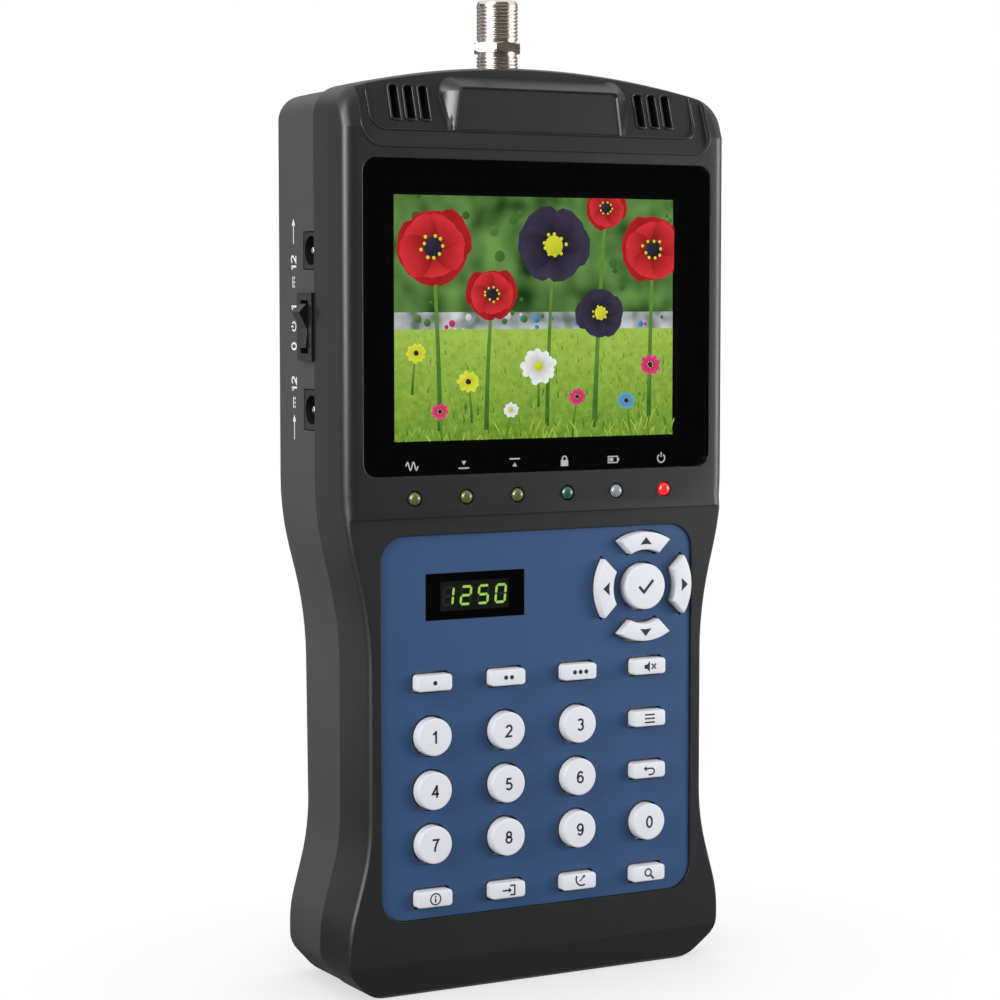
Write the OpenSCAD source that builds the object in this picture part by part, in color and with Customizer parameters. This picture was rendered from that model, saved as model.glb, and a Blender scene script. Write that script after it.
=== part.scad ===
// Handheld satellite signal meter: two moulded shells round a screen, a keypad and a
// receiver board, with a coaxial socket on top and the power fittings on the left side.
// Millimetres. +Z is up, the screen faces -Y, and the origin is the middle of the sole.
// A "depth" is measured back from the screen face.

/* [Housing] */
// Width across the screen section
body_w = 95.6; // [94:0.2:100]
// Height of the housing at the crown
body_h = 201.2; // [185:0.2:220]
// Depth from the screen face to the back
body_d = 38.7; // [38:0.1:46]
// Depth of the front shell, down to the parting plane
front_d = 15.2; // [15:0.1:15.4]
// Side wall thickness of both shells
wall = 2.2; // [1.8:0.1:2.6]
// Thickness of the front wall behind the screen face
front_wall = 3; // [2.8:0.1:3.4]
// How far the rear shell stands inside the front shell at the parting line
rear_inset = 0.9; // [0.5:0.1:1.2]
// Rounding of the front edge beside the screen
edge_r = 3; // [2:0.1:3.4]
// Rounding of the front edge beside the keypad, before its face is let in
low_edge_r = 2; // [1:0.1:2.6]
// Rounding of the back edge
rear_edge_r = 4.5; // [3:0.1:5]
// How far the back leans in from the shoulder down to the sole
back_taper = 2.4; // [0:0.1:3]
// Width and depth of the groove along the parting line
seam_groove = 0.6; // [0.3:0.1:0.8]
// Height of the locating lip on the rear shell
lip_h = 1.5; // [1:0.1:2]
// Clearance between the lip and the front shell
lip_gap = 0.15; // [0.1:0.05:0.3]

/* [Outline] */
// Width of the flat sole, out to the chamfer corners
sole_w = 80.4; // [76:0.2:84]
// Rounding between the sole and the foot chamfer
sole_r = 7; // [6.5:0.1:8]
// Height of the foot chamfer
chamfer_h = 6.7; // [6:0.1:8]
// Rounding above the foot chamfer
chamfer_r = 6.5; // [6.2:0.1:8]
// Width across the flared foot
foot_w = 94.2; // [92:0.2:98]
// Height at which the foot starts to draw in
foot_z = 15.4; // [15:0.1:17]
// Rounding where the foot starts to draw in
foot_r = 29; // [20:1:34]
// Width at the waist
waist_w = 84.3; // [83.4:0.1:88]
// Height of the lower end of the waist
waist_low_z = 33; // [31:0.5:36]
// Rounding at the lower end of the waist
waist_low_r = 50; // [30:1:60]
// Height of the upper end of the waist
waist_high_z = 81; // [78:0.5:84]
// Rounding at the upper end of the waist
waist_high_r = 79; // [50:1:90]
// Distance from the step down to the shoulder
shoulder_drop = 0.8; // [0:0.1:2]
// Rounding at the shoulder
shoulder_r = 68; // [40:1:80]
// Radius of the arched crown
crown_r = 188; // [150:1:240]
// Rounding of the upper corners
top_corner_r = 6.5; // [6.2:0.1:7.5]

/* [Front face] */
// Distance from the keypad panel up to the step below the screen section
step_gap = 3.9; // [3:0.1:4.6]
// Depth of the keypad section below the screen section
step_d = 0.5; // [0.3:0.05:0.8]
// Height of the crease above the lower band
band_z = 14.5; // [13:0.1:15.5]
// Height of the crease between the lower band and the heel facet
heel_z = 7.5; // [6:0.1:9]
// Depth of the face at the heel crease
heel_top_d = 0.9; // [0.7:0.1:1.4]
// Depth of the front edge of the sole
heel_d = 3.4; // [2.6:0.1:4]

/* [Head] */
// Lean of the head away from the screen face, in degrees
head_tilt = 20.6; // [16:0.2:22]
// Distance from the crown down to where the border of the head starts to lean back
head_drop = 14.2; // [13.4:0.1:15]
// Distance from the crown down to the crease where the brow starts to lean back
brow_drop = 17.7; // [17.2:0.1:18.2]
// Width of the border beside the brow
brow_side = 4.4; // [4.2:0.1:5]
// Corner radius of the brow
brow_r = 4.5; // [3:0.1:6]
// Distance from the side of the brow to the pocket that holds the vents and the name pad
pocket_side = 2.9; // [2.6:0.1:3.6]
// Distance from the crown down to the lower edge of the pocket
pocket_drop = 14.3; // [14:0.1:14.8]
// Distance from the crown down to where the pocket runs out
pocket_gap = 1.7; // [1.2:0.1:2.2]
// Depth of the pocket at its lower edge
pocket_d = 0.9; // [0.5:0.1:1.1]
// Corner radius of the pocket
pocket_r = 3; // [2:0.1:4]
// Width of a vent slot
vent_w = 2.1; // [1.5:0.1:2.4]
// Height of a vent slot
vent_h = 7.3; // [5:0.1:7.4]
// Corner radius of a vent slot
vent_r = 0.6; // [0.3:0.1:0.7]
// Distance from the crown down to the lower end of the vent slots
vent_drop = 12.2; // [11.8:0.1:12.6]
// Distance from one vent slot to the next
vent_pitch = 3.55; // [3.2:0.05:3.8]
// Number of vent slots on each side
vent_count = 3; // [2:1:3]
// Distance from the side of the pocket to the middle vent slot
vent_side = 10; // [9.6:0.1:10.4]
// Width of the name pad at its foot
pad_w = 44; // [38:0.5:45]
// Width of the name pad at its brow
pad_top_w = 40; // [34:0.2:41]
// Height of the name pad
pad_h = 8.6; // [7:0.1:9]
// Lean of the name pad, in degrees
pad_tilt = 6; // [2:0.5:9]
// Reach of the hollow flanks beside the name pad
pad_flank = 4.2; // [2:0.1:4.4]
// Reach of the hollow flank above the name pad
pad_brow = 2.6; // [2:0.1:2.8]
// Corner radius at the brow of the name pad
pad_r = 1.2; // [0.6:0.1:2]
// How far the name pad stands out at its foot
pad_step = 0.5; // [0.2:0.05:0.6]

/* [Screen] */
// Distance from the side of the housing to the window over the screen
window_side = 4.38; // [4.1:0.02:5.2]
// Distance from the crown down to the window
window_drop = 20.6; // [20.2:0.1:21.4]
// Distance from the step up to the window
window_rise = 9.1; // [8.6:0.1:9.6]
// Corner radius of the window
window_r = 3; // [2:0.1:4]
// Thickness of the window
window_t = 1.5; // [1.2:0.1:1.6]
// How far the window lies below the face
window_sink = 0.35; // [0.2:0.05:0.5]
// Width of the picture area
view_w = 70.08; // [66:0.02:71]
// Border of the window below the picture area
view_sill = 7.22; // [6.9:0.02:8]
// Border of the window above the picture area
view_head = 7.52; // [7.2:0.02:8.4]
// Margin of the opening in the wall round the picture area
view_margin = 1; // [0.5:0.1:1.4]
// Rim of the screen module beside the picture area
lcd_rim_w = 3.41; // [2.6:0.01:4]
// Rim of the screen module above and below the picture area
lcd_rim_h = 5.67; // [5:0.01:5.8]
// Thickness of the screen module
lcd_t = 3.2; // [2.8:0.1:3.3]

/* [Lamps] */
// Diameter of the signal lamps
lamp_d = 3; // [2.6:0.1:3.4]
// Distance from the side of the housing to the outer lamps
lamp_side = 16.35; // [15.8:0.05:17.8]
// Distance from the step up to the row of lamps
lamp_up = 4.2; // [3.8:0.1:4.8]
// How far the lamps stand out of the face
lamp_rise = 1; // [0.6:0.1:1.4]

/* [Keypad] */
// Distance from the side of the waist to the keypad panel
panel_side = 3.03; // [2.7:0.01:3.3]
// Height of the lower edge of the keypad panel
panel_z = 17; // [16.5:0.1:17.5]
// Distance from the lower edge of the panel to the bottom row of keys
panel_foot = 4.52; // [4.2:0.02:5]
// Distance from the middle of the direction keys to the upper edge of the panel
panel_head = 13.6; // [13.4:0.1:14.4]
// Corner radius of the keypad panel
panel_r = 5.5; // [4:0.1:7]
// Thickness of the keypad panel
panel_t = 0.6; // [0.4:0.05:0.7]
// How far the panel lies below the keypad face
panel_sink = 0.5; // [0.3:0.05:0.6]
// Distance from one key column to the next
key_pitch_x = 18.14; // [17.6:0.02:18.4]
// Distance from one key row to the next
key_pitch_z = 11.77; // [11.4:0.01:11.9]
// Diameter of a round key
key_d = 8.25; // [7.5:0.05:8.6]
// Width of a bar key
bar_w = 8.5; // [7.5:0.1:9]
// Height of a bar key
bar_h = 3.6; // [3.2:0.1:4.2]
// Corner radius of a bar key
bar_r = 0.8; // [0.6:0.05:1]
// How far the keys stand out of the panel
key_rise = 2.2; // [1.8:0.1:2.6]
// Travel of a key
key_travel = 0.8; // [0.5:0.1:0.9]
// Clearance of the openings round a key
key_slack = 0.5; // [0.3:0.05:0.55]
// Clearance before and behind a key
key_gap = 0.3; // [0.2:0.05:0.35]
// Rounding of the upper edge of a key
key_edge_r = 0.45; // [0.3:0.05:0.5]
// Width of the flange that keeps a key in
flange_w = 0.8; // [0.6:0.1:0.9]
// Thickness of that flange
flange_t = 0.8; // [0.6:0.1:0.9]
// Distance from the side of the panel to the middle of the direction keys
nav_side = 13.1; // [13:0.01:13.4]
// Height of the middle of the direction keys above the top row of keys
nav_up = 18.1; // [17.9:0.05:18.8]
// Diameter of the centre key
ok_d = 10.3; // [9.6:0.1:10.8]
// Inner radius of the direction keys
nav_in_r = 8.3; // [8:0.05:8.6]
// Outer radius of the direction keys
nav_out_r = 12.3; // [11.8:0.05:12.4]
// Width of the diagonal gap between two direction keys
nav_slot_w = 5.4; // [4.6:0.1:6]

/* [Digit display] */
// Width of the digit window
digits_w = 24.25; // [23:0.05:25]
// Height of the digit window
digits_h = 10; // [9.4:0.1:10.6]
// Distance from the side of the panel to the digit window
digits_side = 10.8; // [10:0.1:11.4]
// Height of the digit window's middle above that of the direction keys
digits_up = 0.2; // [0:0.05:0.6]
// Margin of the digit window round the display behind it
digits_margin = 1.4; // [1.2:0.1:1.8]

/* [Coaxial socket] */
// Outside diameter of the threaded barrel
coax_d = 9.2; // [8.8:0.1:9.3]
// Depth of the barrel's axis
coax_depth = 20.6; // [20.5:0.1:21.4]
// Height of the tip above the crown
coax_rise = 15.8; // [14:0.1:18]
// Length of the free thread above the collar
coax_thread = 9.3; // [8:0.1:10]
// Height of the hexagonal collar
collar_h = 2.2; // [1.8:0.1:2.6]
// Width of the collar across its flats
collar_w = 10.2; // [9.8:0.1:11]
// Bore of the barrel
coax_bore = 6.4; // [5.6:0.1:7]
// Bore for the centre wire
coax_pin_d = 1.2; // [1:0.1:1.4]
// Height of the taper at the tip
lead_h = 1.6; // [1:0.1:2]
// Depth of the taper at the tip
lead_in = 0.8; // [0.5:0.05:1]
// How far the insulator lies below the tip
insulator_sink = 0.6; // [0.4:0.1:1]

/* [Side fittings] */
// Depth of the front edge of the side fittings
port_depth = 15.5; // [15.5:0.1:16]
// Width of the side fittings
port_w = 7.1; // [6.9:0.1:7.4]
// Height of the power outlet above the middle of the window
outlet_up = 14.4; // [13.6:0.05:15]
// Height of the power outlet
outlet_h = 7.9; // [7.4:0.1:8.4]
// Distance from the middle of the window down to the power inlet
inlet_down = 19.95; // [19.4:0.05:20.4]
// Height of the power inlet
inlet_h = 8.65; // [7.6:0.05:9]
// Diameter of the plug hole in the outlet and inlet
plug_d = 6.3; // [5.8:0.1:6.4]
// Depth of the plug hole
plug_deep = 9.5; // [9:0.1:10]
// Diameter of the contact pin in the plug hole
contact_d = 2.1; // [1.9:0.1:2.5]
// Length of an outlet or inlet body
jack_len = 13.5; // [12.5:0.1:14]
// Clearance round the side fittings
port_gap = 0.2; // [0.15:0.05:0.3]
// Distance from the middle of the window down to the power switch
switch_down = 2; // [1.6:0.05:2.4]
// Height of the switch bezel
switch_h = 14.7; // [14:0.1:15.2]
// How far the bezel stands out of the side
bezel_t = 1.5; // [1.2:0.1:1.8]
// Width of the bezel's overlap round the switch body
bezel_lap = 0.9; // [0.8:0.1:1.1]
// Length of the switch body inside the wall
switch_len = 13; // [12:0.1:14]
// Height of the opening for the rocker
rocker_h = 11; // [10.6:0.1:11.2]
// Width of the rocker
rocker_w = 3.6; // [3.2:0.1:3.7]
// Clearance round the rocker
rocker_gap = 0.2; // [0.15:0.05:0.3]
// Lean of the rocker to either side, in degrees
rocker_tilt = 11; // [8:0.5:12]
// How far the rocker's ridges stand out from its pivot
rocker_rise = 3.3; // [3:0.1:3.6]
// Distance of the rocker's ridges from its middle
rocker_ridge = 3.92; // [3.6:0.02:4.2]
// How far the dip between the ridges stands out from the pivot
rocker_dip = 2.1; // [1.8:0.1:2.4]
// How far the ends of the rocker stand out from the pivot
rocker_end = 1.2; // [1:0.1:1.4]
// Reach of the rocker's heel behind its pivot
rocker_heel = 2.24; // [2:0.02:2.5]
// Distance of the rocker's pivot from the outside of the bezel
pivot_deep = 1.9; // [1.8:0.1:2.2]
// Diameter of the rocker's pivot pins
pivot_d = 1.4; // [1.2:0.1:1.6]

/* [Inside] */
// Thickness of the circuit boards
board_t = 1.6; // [1.2:0.1:1.6]
// Depth of the front of the key board
key_board_depth = 6.4; // [6.4:0.1:6.8]
// Depth of the front of the main board
main_board_depth = 12.4; // [12.2:0.1:12.4]
// Clearance between the key board and the side walls
board_gap = 0.6; // [0.4:0.1:1]
// Distance from the main board to the screw bosses beside it
board_side = 3.5; // [2.5:0.1:5.5]
// Reach of the main board below the row of lamps
board_tail = 4.4; // [3.5:0.1:5.5]
// Distance from the crown down to the main board
board_drop = 9.2; // [8.8:0.1:10]
// Thickness of the rubber key mat
mat_t = 0.8; // [0.6:0.05:0.8]
// Diameter of a key mat dome
dome_d = 3; // [2.4:0.1:3.4]
// Width of the tuner can
tuner_w = 40; // [36:0.5:44]
// Height of the tuner can
tuner_h = 33; // [28:0.5:36]
// Thickness of the tuner can
tuner_t = 13; // [12.5:0.1:14]
// Diameter of a battery cell
cell_d = 18.4; // [17.5:0.1:18.4]
// Length of the battery pack
cell_len = 66; // [60:0.5:70]
// Number of cells in the pack
cell_count = 3; // [2:1:3]
// Height of the lower end of the battery pack
cell_z = 24; // [22:0.5:27]
// Thickness of the wrap between the cells
wrap_t = 12.9; // [11:0.1:14]
// Thickness of the ribs that hold the battery pack
rib_t = 1.6; // [1.2:0.1:2]
// Reach of those ribs from the back wall
rib_reach = 11; // [9:0.1:13]
// Width of a speaker
speaker_w = 12; // [10:0.2:12.4]
// Height of a speaker
speaker_h = 8.4; // [7:0.2:8.6]
// Thickness of a speaker
speaker_t = 3.6; // [3:0.1:4]
// Diameter of a speaker's cone at its front
cone_d = 7.6; // [6:0.1:7.6]
// Diameter of the cone at its back
cone_back_d = 4.2; // [3:0.1:5]
// Depth of the cone
cone_deep = 1.8; // [1.2:0.1:2.2]
// Distance from the side of the housing to the upper and middle housing screws
screw_side = 7.8; // [7.2:0.1:8]
// Distance from the side of the foot to the lower housing screws
screw_foot_side = 8.6; // [8:0.1:9.6]
// Height of the lower housing screws
screw_foot_z = 10; // [9.8:0.1:11]
// Distance from the step up to the middle housing screws
screw_mid_up = 1.8; // [1.3:0.1:2.8]
// Distance from the crown down to the upper housing screws
screw_top_drop = 13.7; // [13.2:0.1:14.2]
// Diameter of a screw shank
screw_d = 2.9; // [2.5:0.1:3.1]
// Diameter of a screw head
screw_head_d = 5.6; // [5:0.1:5.8]
// Height of a screw head
screw_head_h = 2.2; // [1.8:0.1:2.6]
// Depth of the seat under a screw head
screw_seat = 21; // [20:0.1:24]
// Length of a screw shank
screw_len = 12.5; // [10:0.1:13]
// Clearance of holes over pins, posts and screws
hole_gap = 0.2; // [0.1:0.05:0.25]

/* [Hidden] */
$fn = 48;
arc_steps = 6;
corner_steps = 8;
crown_steps = 12;
edge_steps = 8;
rim_steps = 3;
// Overlap of shapes that are joined
bite = 0.6;
// Overshoot of cuts
cut = 1;
// Slack that lets a loose part seat
seat_gap = 0.2;
key_rows = 5;
key_columns = 4;
lamp_count = 6;
boss_d = 7;
front_y = -body_d / 2;
panel_w = waist_w - 2 * panel_side;
key_top_z = panel_z + panel_foot + (key_rows - 1) * key_pitch_z;
nav_x = panel_w / 2 - nav_side;
nav_z = key_top_z + nav_up;
panel_h = nav_z + panel_head - panel_z;
digits_x = digits_side + digits_w / 2 - panel_w / 2;
digits_z = nav_z + digits_up;
step_z = panel_z + panel_h + step_gap;
shoulder_z = step_z - shoulder_drop;
lamp_z = step_z + lamp_up;
lamp_pitch = (body_w - 2 * lamp_side) / (lamp_count - 1);
head_z = body_h - head_drop;
brow_z = body_h - brow_drop;
brow_w = body_w - 2 * brow_side;
pocket_z = body_h - pocket_drop;
pocket_top_z = body_h - pocket_gap;
pocket_w = brow_w - 2 * pocket_side;
vent_x = pocket_w / 2 - vent_side;
vent_z = body_h - vent_drop;
window_w = body_w - 2 * window_side;
window_low_z = step_z + window_rise;
window_h = body_h - window_drop - window_low_z;
window_z = window_low_z + window_h / 2;
view_h = window_h - view_sill - view_head;
view_z = window_low_z + view_sill + view_h / 2;
lcd_w = view_w + 2 * lcd_rim_w;
lcd_h = view_h + 2 * lcd_rim_h;
outlet_z = window_z + outlet_up;
inlet_z = window_z - inlet_down;
switch_z = window_z - switch_down;
screw_x = body_w / 2 - screw_side;
screw_foot_x = foot_w / 2 - screw_foot_side;
screw_mid_z = step_z + screw_mid_up;
screw_top_z = body_h - screw_top_drop;
main_board_w = 2 * (screw_x - boss_d / 2 - board_side);
main_board_z = lamp_z - board_tail;
main_board_h = body_h - board_drop - main_board_z;
top_corner_x = body_w / 2 - top_corner_r;
crown_z = body_h - crown_r;
top_corner_z = crown_z + sqrt(pow(crown_r - top_corner_r, 2) - pow(top_corner_x, 2));
top_corner_turn = atan2(top_corner_z - crown_z, top_corner_x);
tilt = tan(head_tilt);
side_x = -body_w / 2 + rear_inset;
panel_depth = step_d + panel_sink;
key_front = panel_depth - key_rise;
flange_depth = front_wall + key_gap;
key_back = flange_depth + flange_t;
dome_depth = key_back + key_travel + key_gap;
port_mid = port_depth + port_w / 2;
lamp_flange = 0.4;
lamp_flange_t = 1;
lead_d = 0.5;
pillar_d = 8.6;
post_d = 4;
pilot_gap = 0.05;
main_post_x = 24;
main_post_drop = 19.6;
main_post_z = body_h - main_post_drop;
post_x = key_pitch_x;
tab_w = 10.2;
tab_margin = 4;
link_w = 30;
link_h = 5;
nose_len = 2.3;
recess = 0.2;
insulator_gap = 0.02;
coax_floor = 1;
speaker_up = 1;
screws = [
    for (side = [-1, 1], at = [[screw_foot_x, screw_foot_z], [screw_x, screw_mid_z], [screw_x, screw_top_z]])
        [side * at[0], at[1]]
];
posts = [for (side = [-1, 1], row = [0.5, 3.5]) [side * post_x, key_top_z - row * key_pitch_z]];

// Name, form, column and row of each key; a direction key has its bearing instead
KEYS = [
    ["key_f1", "bar", 0, 0], ["key_f2", "bar", 1, 0], ["key_f3", "bar", 2, 0], ["key_mute", "bar", 3, 0],
    ["key_1", "round", 0, 1], ["key_2", "round", 1, 1], ["key_3", "round", 2, 1], ["key_menu", "bar", 3, 1],
    ["key_4", "round", 0, 2], ["key_5", "round", 1, 2], ["key_6", "round", 2, 2], ["key_exit", "bar", 3, 2],
    ["key_7", "round", 0, 3], ["key_8", "round", 1, 3], ["key_9", "round", 2, 3], ["key_0", "round", 3, 3],
    ["key_info", "bar", 0, 4], ["key_input", "bar", 1, 4], ["key_dish", "bar", 2, 4],
    ["key_search", "bar", 3, 4], ["key_ok", "centre", 0, 0],
    ["key_right", "arc", 0, 0], ["key_up", "arc", 90, 0],
    ["key_left", "arc", 180, 0], ["key_down", "arc", 270, 0]
];

// Y of a depth behind the screen face
function at_depth(depth) = front_y + depth;

// Depth of the leaning brow and of the pocket floor at a height
function brow_depth(z) = max(0, z - brow_z) * tilt;
function pocket_depth(z) =
    brow_depth(z) + pocket_d * (pocket_top_z - z) / (pocket_top_z - pocket_z);

// Whether a key belongs to the ring of direction keys
function in_ring(key) = key[1] == "arc" || key[1] == "centre";

// Middle of a key in the front view
function key_x(key) = in_ring(key) ? nav_x : (key[2] - (key_columns - 1) / 2) * key_pitch_x;
function key_z(key) = in_ring(key) ? nav_z : key_top_z - key[3] * key_pitch_z;

// The right half of the outline from the sole to the head: corners with their radii
function corners(sole_z) = [
    [0, sole_z, 0],
    [sole_w / 2, sole_z, sole_r],
    [foot_w / 2, chamfer_h, chamfer_r],
    [foot_w / 2, foot_z, foot_r],
    [waist_w / 2, waist_low_z, waist_low_r],
    [waist_w / 2, waist_high_z, waist_high_r],
    [body_w / 2, shoulder_z, shoulder_r],
    [body_w / 2, head_z, 0],
    [body_w / 2, top_corner_z, 0]
];

function flat(corner) = [corner[0], corner[1]];
function heading(from, to) = atan2(to[1] - from[1], to[0] - from[0]);

// Samples of one rounded corner: centre, sign (1 swells, -1 draws in), radius and heading
function corner_samples(before, corner, after) =
    let (
        h0 = heading(before, corner),
        turn = heading(corner, after) - h0,
        bend = tan(abs(turn) / 2),
        room = min(norm(flat(corner) - flat(before)), norm(flat(after) - flat(corner))) / 2,
        reach = min(corner[2] * bend, room),
        sign = turn < 0 ? -1 : 1,
        r = bend < 0.001 ? 0 : reach / bend,
        steps = r == 0 ? 0 : arc_steps,
        start = flat(corner) - reach * [cos(h0), sin(h0)],
        centre = start + sign * r * [-sin(h0), cos(h0)]
    )
    [for (i = [0:steps]) [centre, sign, r, h0 + (steps == 0 ? 0 : turn * i / steps)]];

function half_samples(list) = concat(
    [
        for (i = [1:len(list) - 2])
            each corner_samples(list[i - 1], list[i], list[i + 1])
    ],
    [
        for (i = [0:corner_steps])
            [[top_corner_x, top_corner_z], 1, top_corner_r, 90 + top_corner_turn * i / corner_steps]
    ],
    [
        for (i = [1:crown_steps])
            let (share = i / (crown_steps + 0.5))
            [[0, crown_z], 1, crown_r, 90 + top_corner_turn + (90 - top_corner_turn) * share]
    ]
);

FRONT = half_samples(corners(0));
// The rear shell is drawn in at its sides and top, but stands level with the front at the sole
REAR = half_samples(corners(-rear_inset));

// A sample's point, drawn in by an inset
function inset_point(sample, inset) =
    sample[0] + sample[1] * (sample[2] - sample[1] * inset) * [sin(sample[3]), -cos(sample[3])];

function mirrored(points) = [for (i = [len(points) - 1:-1:0]) [-points[i][0], points[i][1]]];

// The whole outline of a shell, drawn in by an inset
function outline(samples, inset) =
    let (half = [for (sample = samples) inset_point(sample, inset)])
    concat(half, mirrored(half));

// Rounding of the front edge at a height
function edge_at(z) = z < step_z ? low_edge_r : edge_r;

// One ring of the front shell, at an angle round its front edge
function front_ring(angle) = [
    for (point = let (
        half = [
            for (sample = FRONT)
                let (
                    r = edge_at(inset_point(sample, 0)[1]),
                    p = inset_point(sample, r * (1 - cos(angle)))
                )
                [p[0], p[1], r * (1 - sin(angle))]
        ])
        concat(half, [for (i = [len(half) - 1:-1:0]) [-half[i][0], half[i][1], half[i][2]]])
    )
        [point[0], at_depth(max(0, point[1] - head_z) * tilt + point[2]), point[1]]
];

function level_ring(points, depth) = [for (p = points) [p[0], at_depth(depth), p[1]]];

// Depth of the back at a height
function back_depth(z) = body_d - back_taper * max(0, shoulder_z - z) / shoulder_z;

// One ring of the rear shell, drawn in from the outline and forward of the back
function back_ring(inset, forward) = [
    for (p = outline(REAR, inset)) [p[0], at_depth(back_depth(p[1]) - forward), p[1]]
];

// A solid through rings of equal counts, from the back to the front, each the mirror of
// itself left to right, with ends made of level strips
module strip_loft(rings) {
    n = len(rings[0]);
    last = (len(rings) - 1) * n;
    polyhedron(
        points = [for (ring = rings) each ring],
        faces = concat(
            [
                for (k = [0:len(rings) - 2], i = [0:n - 1])
                    let (j = (i + 1) % n)
                    [(k + 1) * n + i, (k + 1) * n + j, k * n + j, k * n + i]
            ],
            [for (i = [0:n / 2 - 2]) [i, i + 1, n - 2 - i, n - 1 - i]],
            [for (i = [0:n / 2 - 2]) [last + n - 1 - i, last + n - 2 - i, last + i + 1, last + i]]
        ),
        convexity = 6
    );
}

// A solid through rings of equal counts with flat ends
module flat_loft(rings) {
    n = len(rings[0]);
    last = (len(rings) - 1) * n;
    polyhedron(
        points = [for (ring = rings) each ring],
        faces = concat(
            [
                for (k = [0:len(rings) - 2], i = [0:n - 1])
                    let (j = (i + 1) % n)
                    [(k + 1) * n + i, (k + 1) * n + j, k * n + j, k * n + i]
            ],
            [[for (i = [0:n - 1]) i]],
            [[for (i = [n - 1:-1:0]) last + i]]
        ),
        convexity = 6
    );
}

// Front-view shapes carried from one depth to another
module between(from, to) {
    translate([0, at_depth(to), 0])
        rotate([90, 0, 0])
            linear_extrude(to - from, convexity = 8)
                children();
}

// Side-view shapes, given as [depth, z], carried across the whole width
module across(points) {
    width = body_w + 2 * cut;
    translate([-width / 2, 0, 0])
        rotate([90, 0, 90])
            linear_extrude(width)
                polygon([for (p = points) [at_depth(p[0]), p[1]]]);
}

// A round bar along the depth
module rod(x, z, d, from, to) {
    translate([x, at_depth(to), z])
        rotate([90, 0, 0])
            cylinder(d = d, h = to - from);
}

// Points of a rectangle with round corners
function round_rect(w, h, r) = [
    for (corner = [[1, -1, -90], [1, 1, 0], [-1, 1, 90], [-1, -1, 180]], i = [0:arc_steps])
        let (angle = corner[2] + 90 * i / arc_steps)
        [corner[0] * (w / 2 - r) + r * cos(angle), corner[1] * (h / 2 - r) + r * sin(angle)]
];

// Points of a direction key: a ring sector whose ends lie along the diagonals
function sector(in_r, out_r, slot) =
    let (
        out_a = 45 - asin(slot / out_r),
        in_a = 45 - asin(slot / in_r),
        steps = 2 * arc_steps
    )
    concat(
        [for (i = [0:steps]) let (a = -out_a + 2 * out_a * i / steps) out_r * [cos(a), sin(a)]],
        [for (i = [0:steps]) let (a = in_a - 2 * in_a * i / steps) in_r * [cos(a), sin(a)]]
    );

function turned(points, angle) = [
    for (p = points) [p[0] * cos(angle) - p[1] * sin(angle), p[0] * sin(angle) + p[1] * cos(angle)]
];

// Outline of a bar key or direction key about its middle, grown by a margin
function key_points(key, grow) =
    key[1] == "bar"
        ? round_rect(bar_w + 2 * grow, bar_h + 2 * grow, bar_r + grow)
        : turned(sector(nav_in_r - grow, nav_out_r + grow, nav_slot_w / 2 - grow), key[2]);

module key_shape(key, grow) {
    translate([key_x(key), key_z(key)])
        if (key[1] == "round")
            circle(d = key_d + 2 * grow);
        else if (key[1] == "centre")
            circle(d = ok_d + 2 * grow);
        else
            polygon(key_points(key, grow));
}

module rect_shape(x, z, w, h, r) {
    translate([x, z])
        polygon(round_rect(w, h, r));
}

module window_shape(gap) {
    rect_shape(0, window_z, window_w + 2 * gap, window_h + 2 * gap, window_r + gap);
}

module panel_shape(gap) {
    rect_shape(0, panel_z + panel_h / 2, panel_w + 2 * gap, panel_h + 2 * gap, panel_r + gap);
}

module digits_shape(margin) {
    translate([digits_x, digits_z])
        square([digits_w + 2 * margin, digits_h + 2 * margin], center = true);
}

// The outer form of the front shell, with its leaning head, step and heel facets
module front_form() {
    intersection() {
        strip_loft(concat(
            [level_ring(outline(FRONT, 0), front_d)],
            [for (i = [0:edge_steps]) front_ring(90 * i / edge_steps)]
        ));
        across([
            [front_d + cut, -cut], [heel_d, -cut], [heel_d, 0], [heel_top_d, heel_z], [step_d, band_z],
            [step_d, step_z], [-cut, step_z], [-cut, body_h + cut], [front_d + cut, body_h + cut]
        ]);
    }
}

module front_cavity() {
    intersection() {
        between(0, front_d + cut)
            polygon(outline(FRONT, wall));
        across([
            [front_d + 2 * cut, 0], [front_wall + heel_d, 0], [front_wall, band_z], [front_wall, brow_z],
            [front_wall + brow_depth(body_h), body_h], [front_d + 2 * cut, body_h]
        ]);
    }
}

// The leaning brow, let in between its borders
module brow_cut() {
    reach = 2 * (body_h - brow_z);
    intersection() {
        between(-cut, front_d)
            rect_shape(0, brow_z + reach / 2, brow_w, reach, brow_r);
        across([
            [-2 * cut, brow_z], [0, brow_z],
            [brow_depth(body_h + cut), body_h + cut], [-2 * cut, body_h + cut]
        ]);
    }
}

// The pocket round the vents and the name pad; it runs out towards the crown
module pocket_cut() {
    reach = 2 * (pocket_top_z - pocket_z);
    intersection() {
        between(-cut, front_d)
            rect_shape(0, pocket_z + reach / 2, pocket_w, reach, pocket_r);
        across([
            [-2 * cut, pocket_z], [pocket_depth(pocket_z), pocket_z],
            [pocket_depth(pocket_top_z), pocket_top_z], [-2 * cut, pocket_top_z]
        ]);
    }
}

// Right half of the name pad's outline, spread by a share of its flank and brow
function pad_half(spread) =
    let (
        rx = pad_r + pad_flank * spread,
        rz = pad_r + pad_brow * spread,
        x = pad_top_w / 2 - pad_r,
        z = pocket_z + pad_h - pad_r
    )
    concat(
        [[pad_w / 2, pocket_z]],
        [for (i = [0:arc_steps]) let (a = 90 * i / arc_steps) [x + rx * cos(a), z + rz * sin(a)]]
    );

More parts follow.
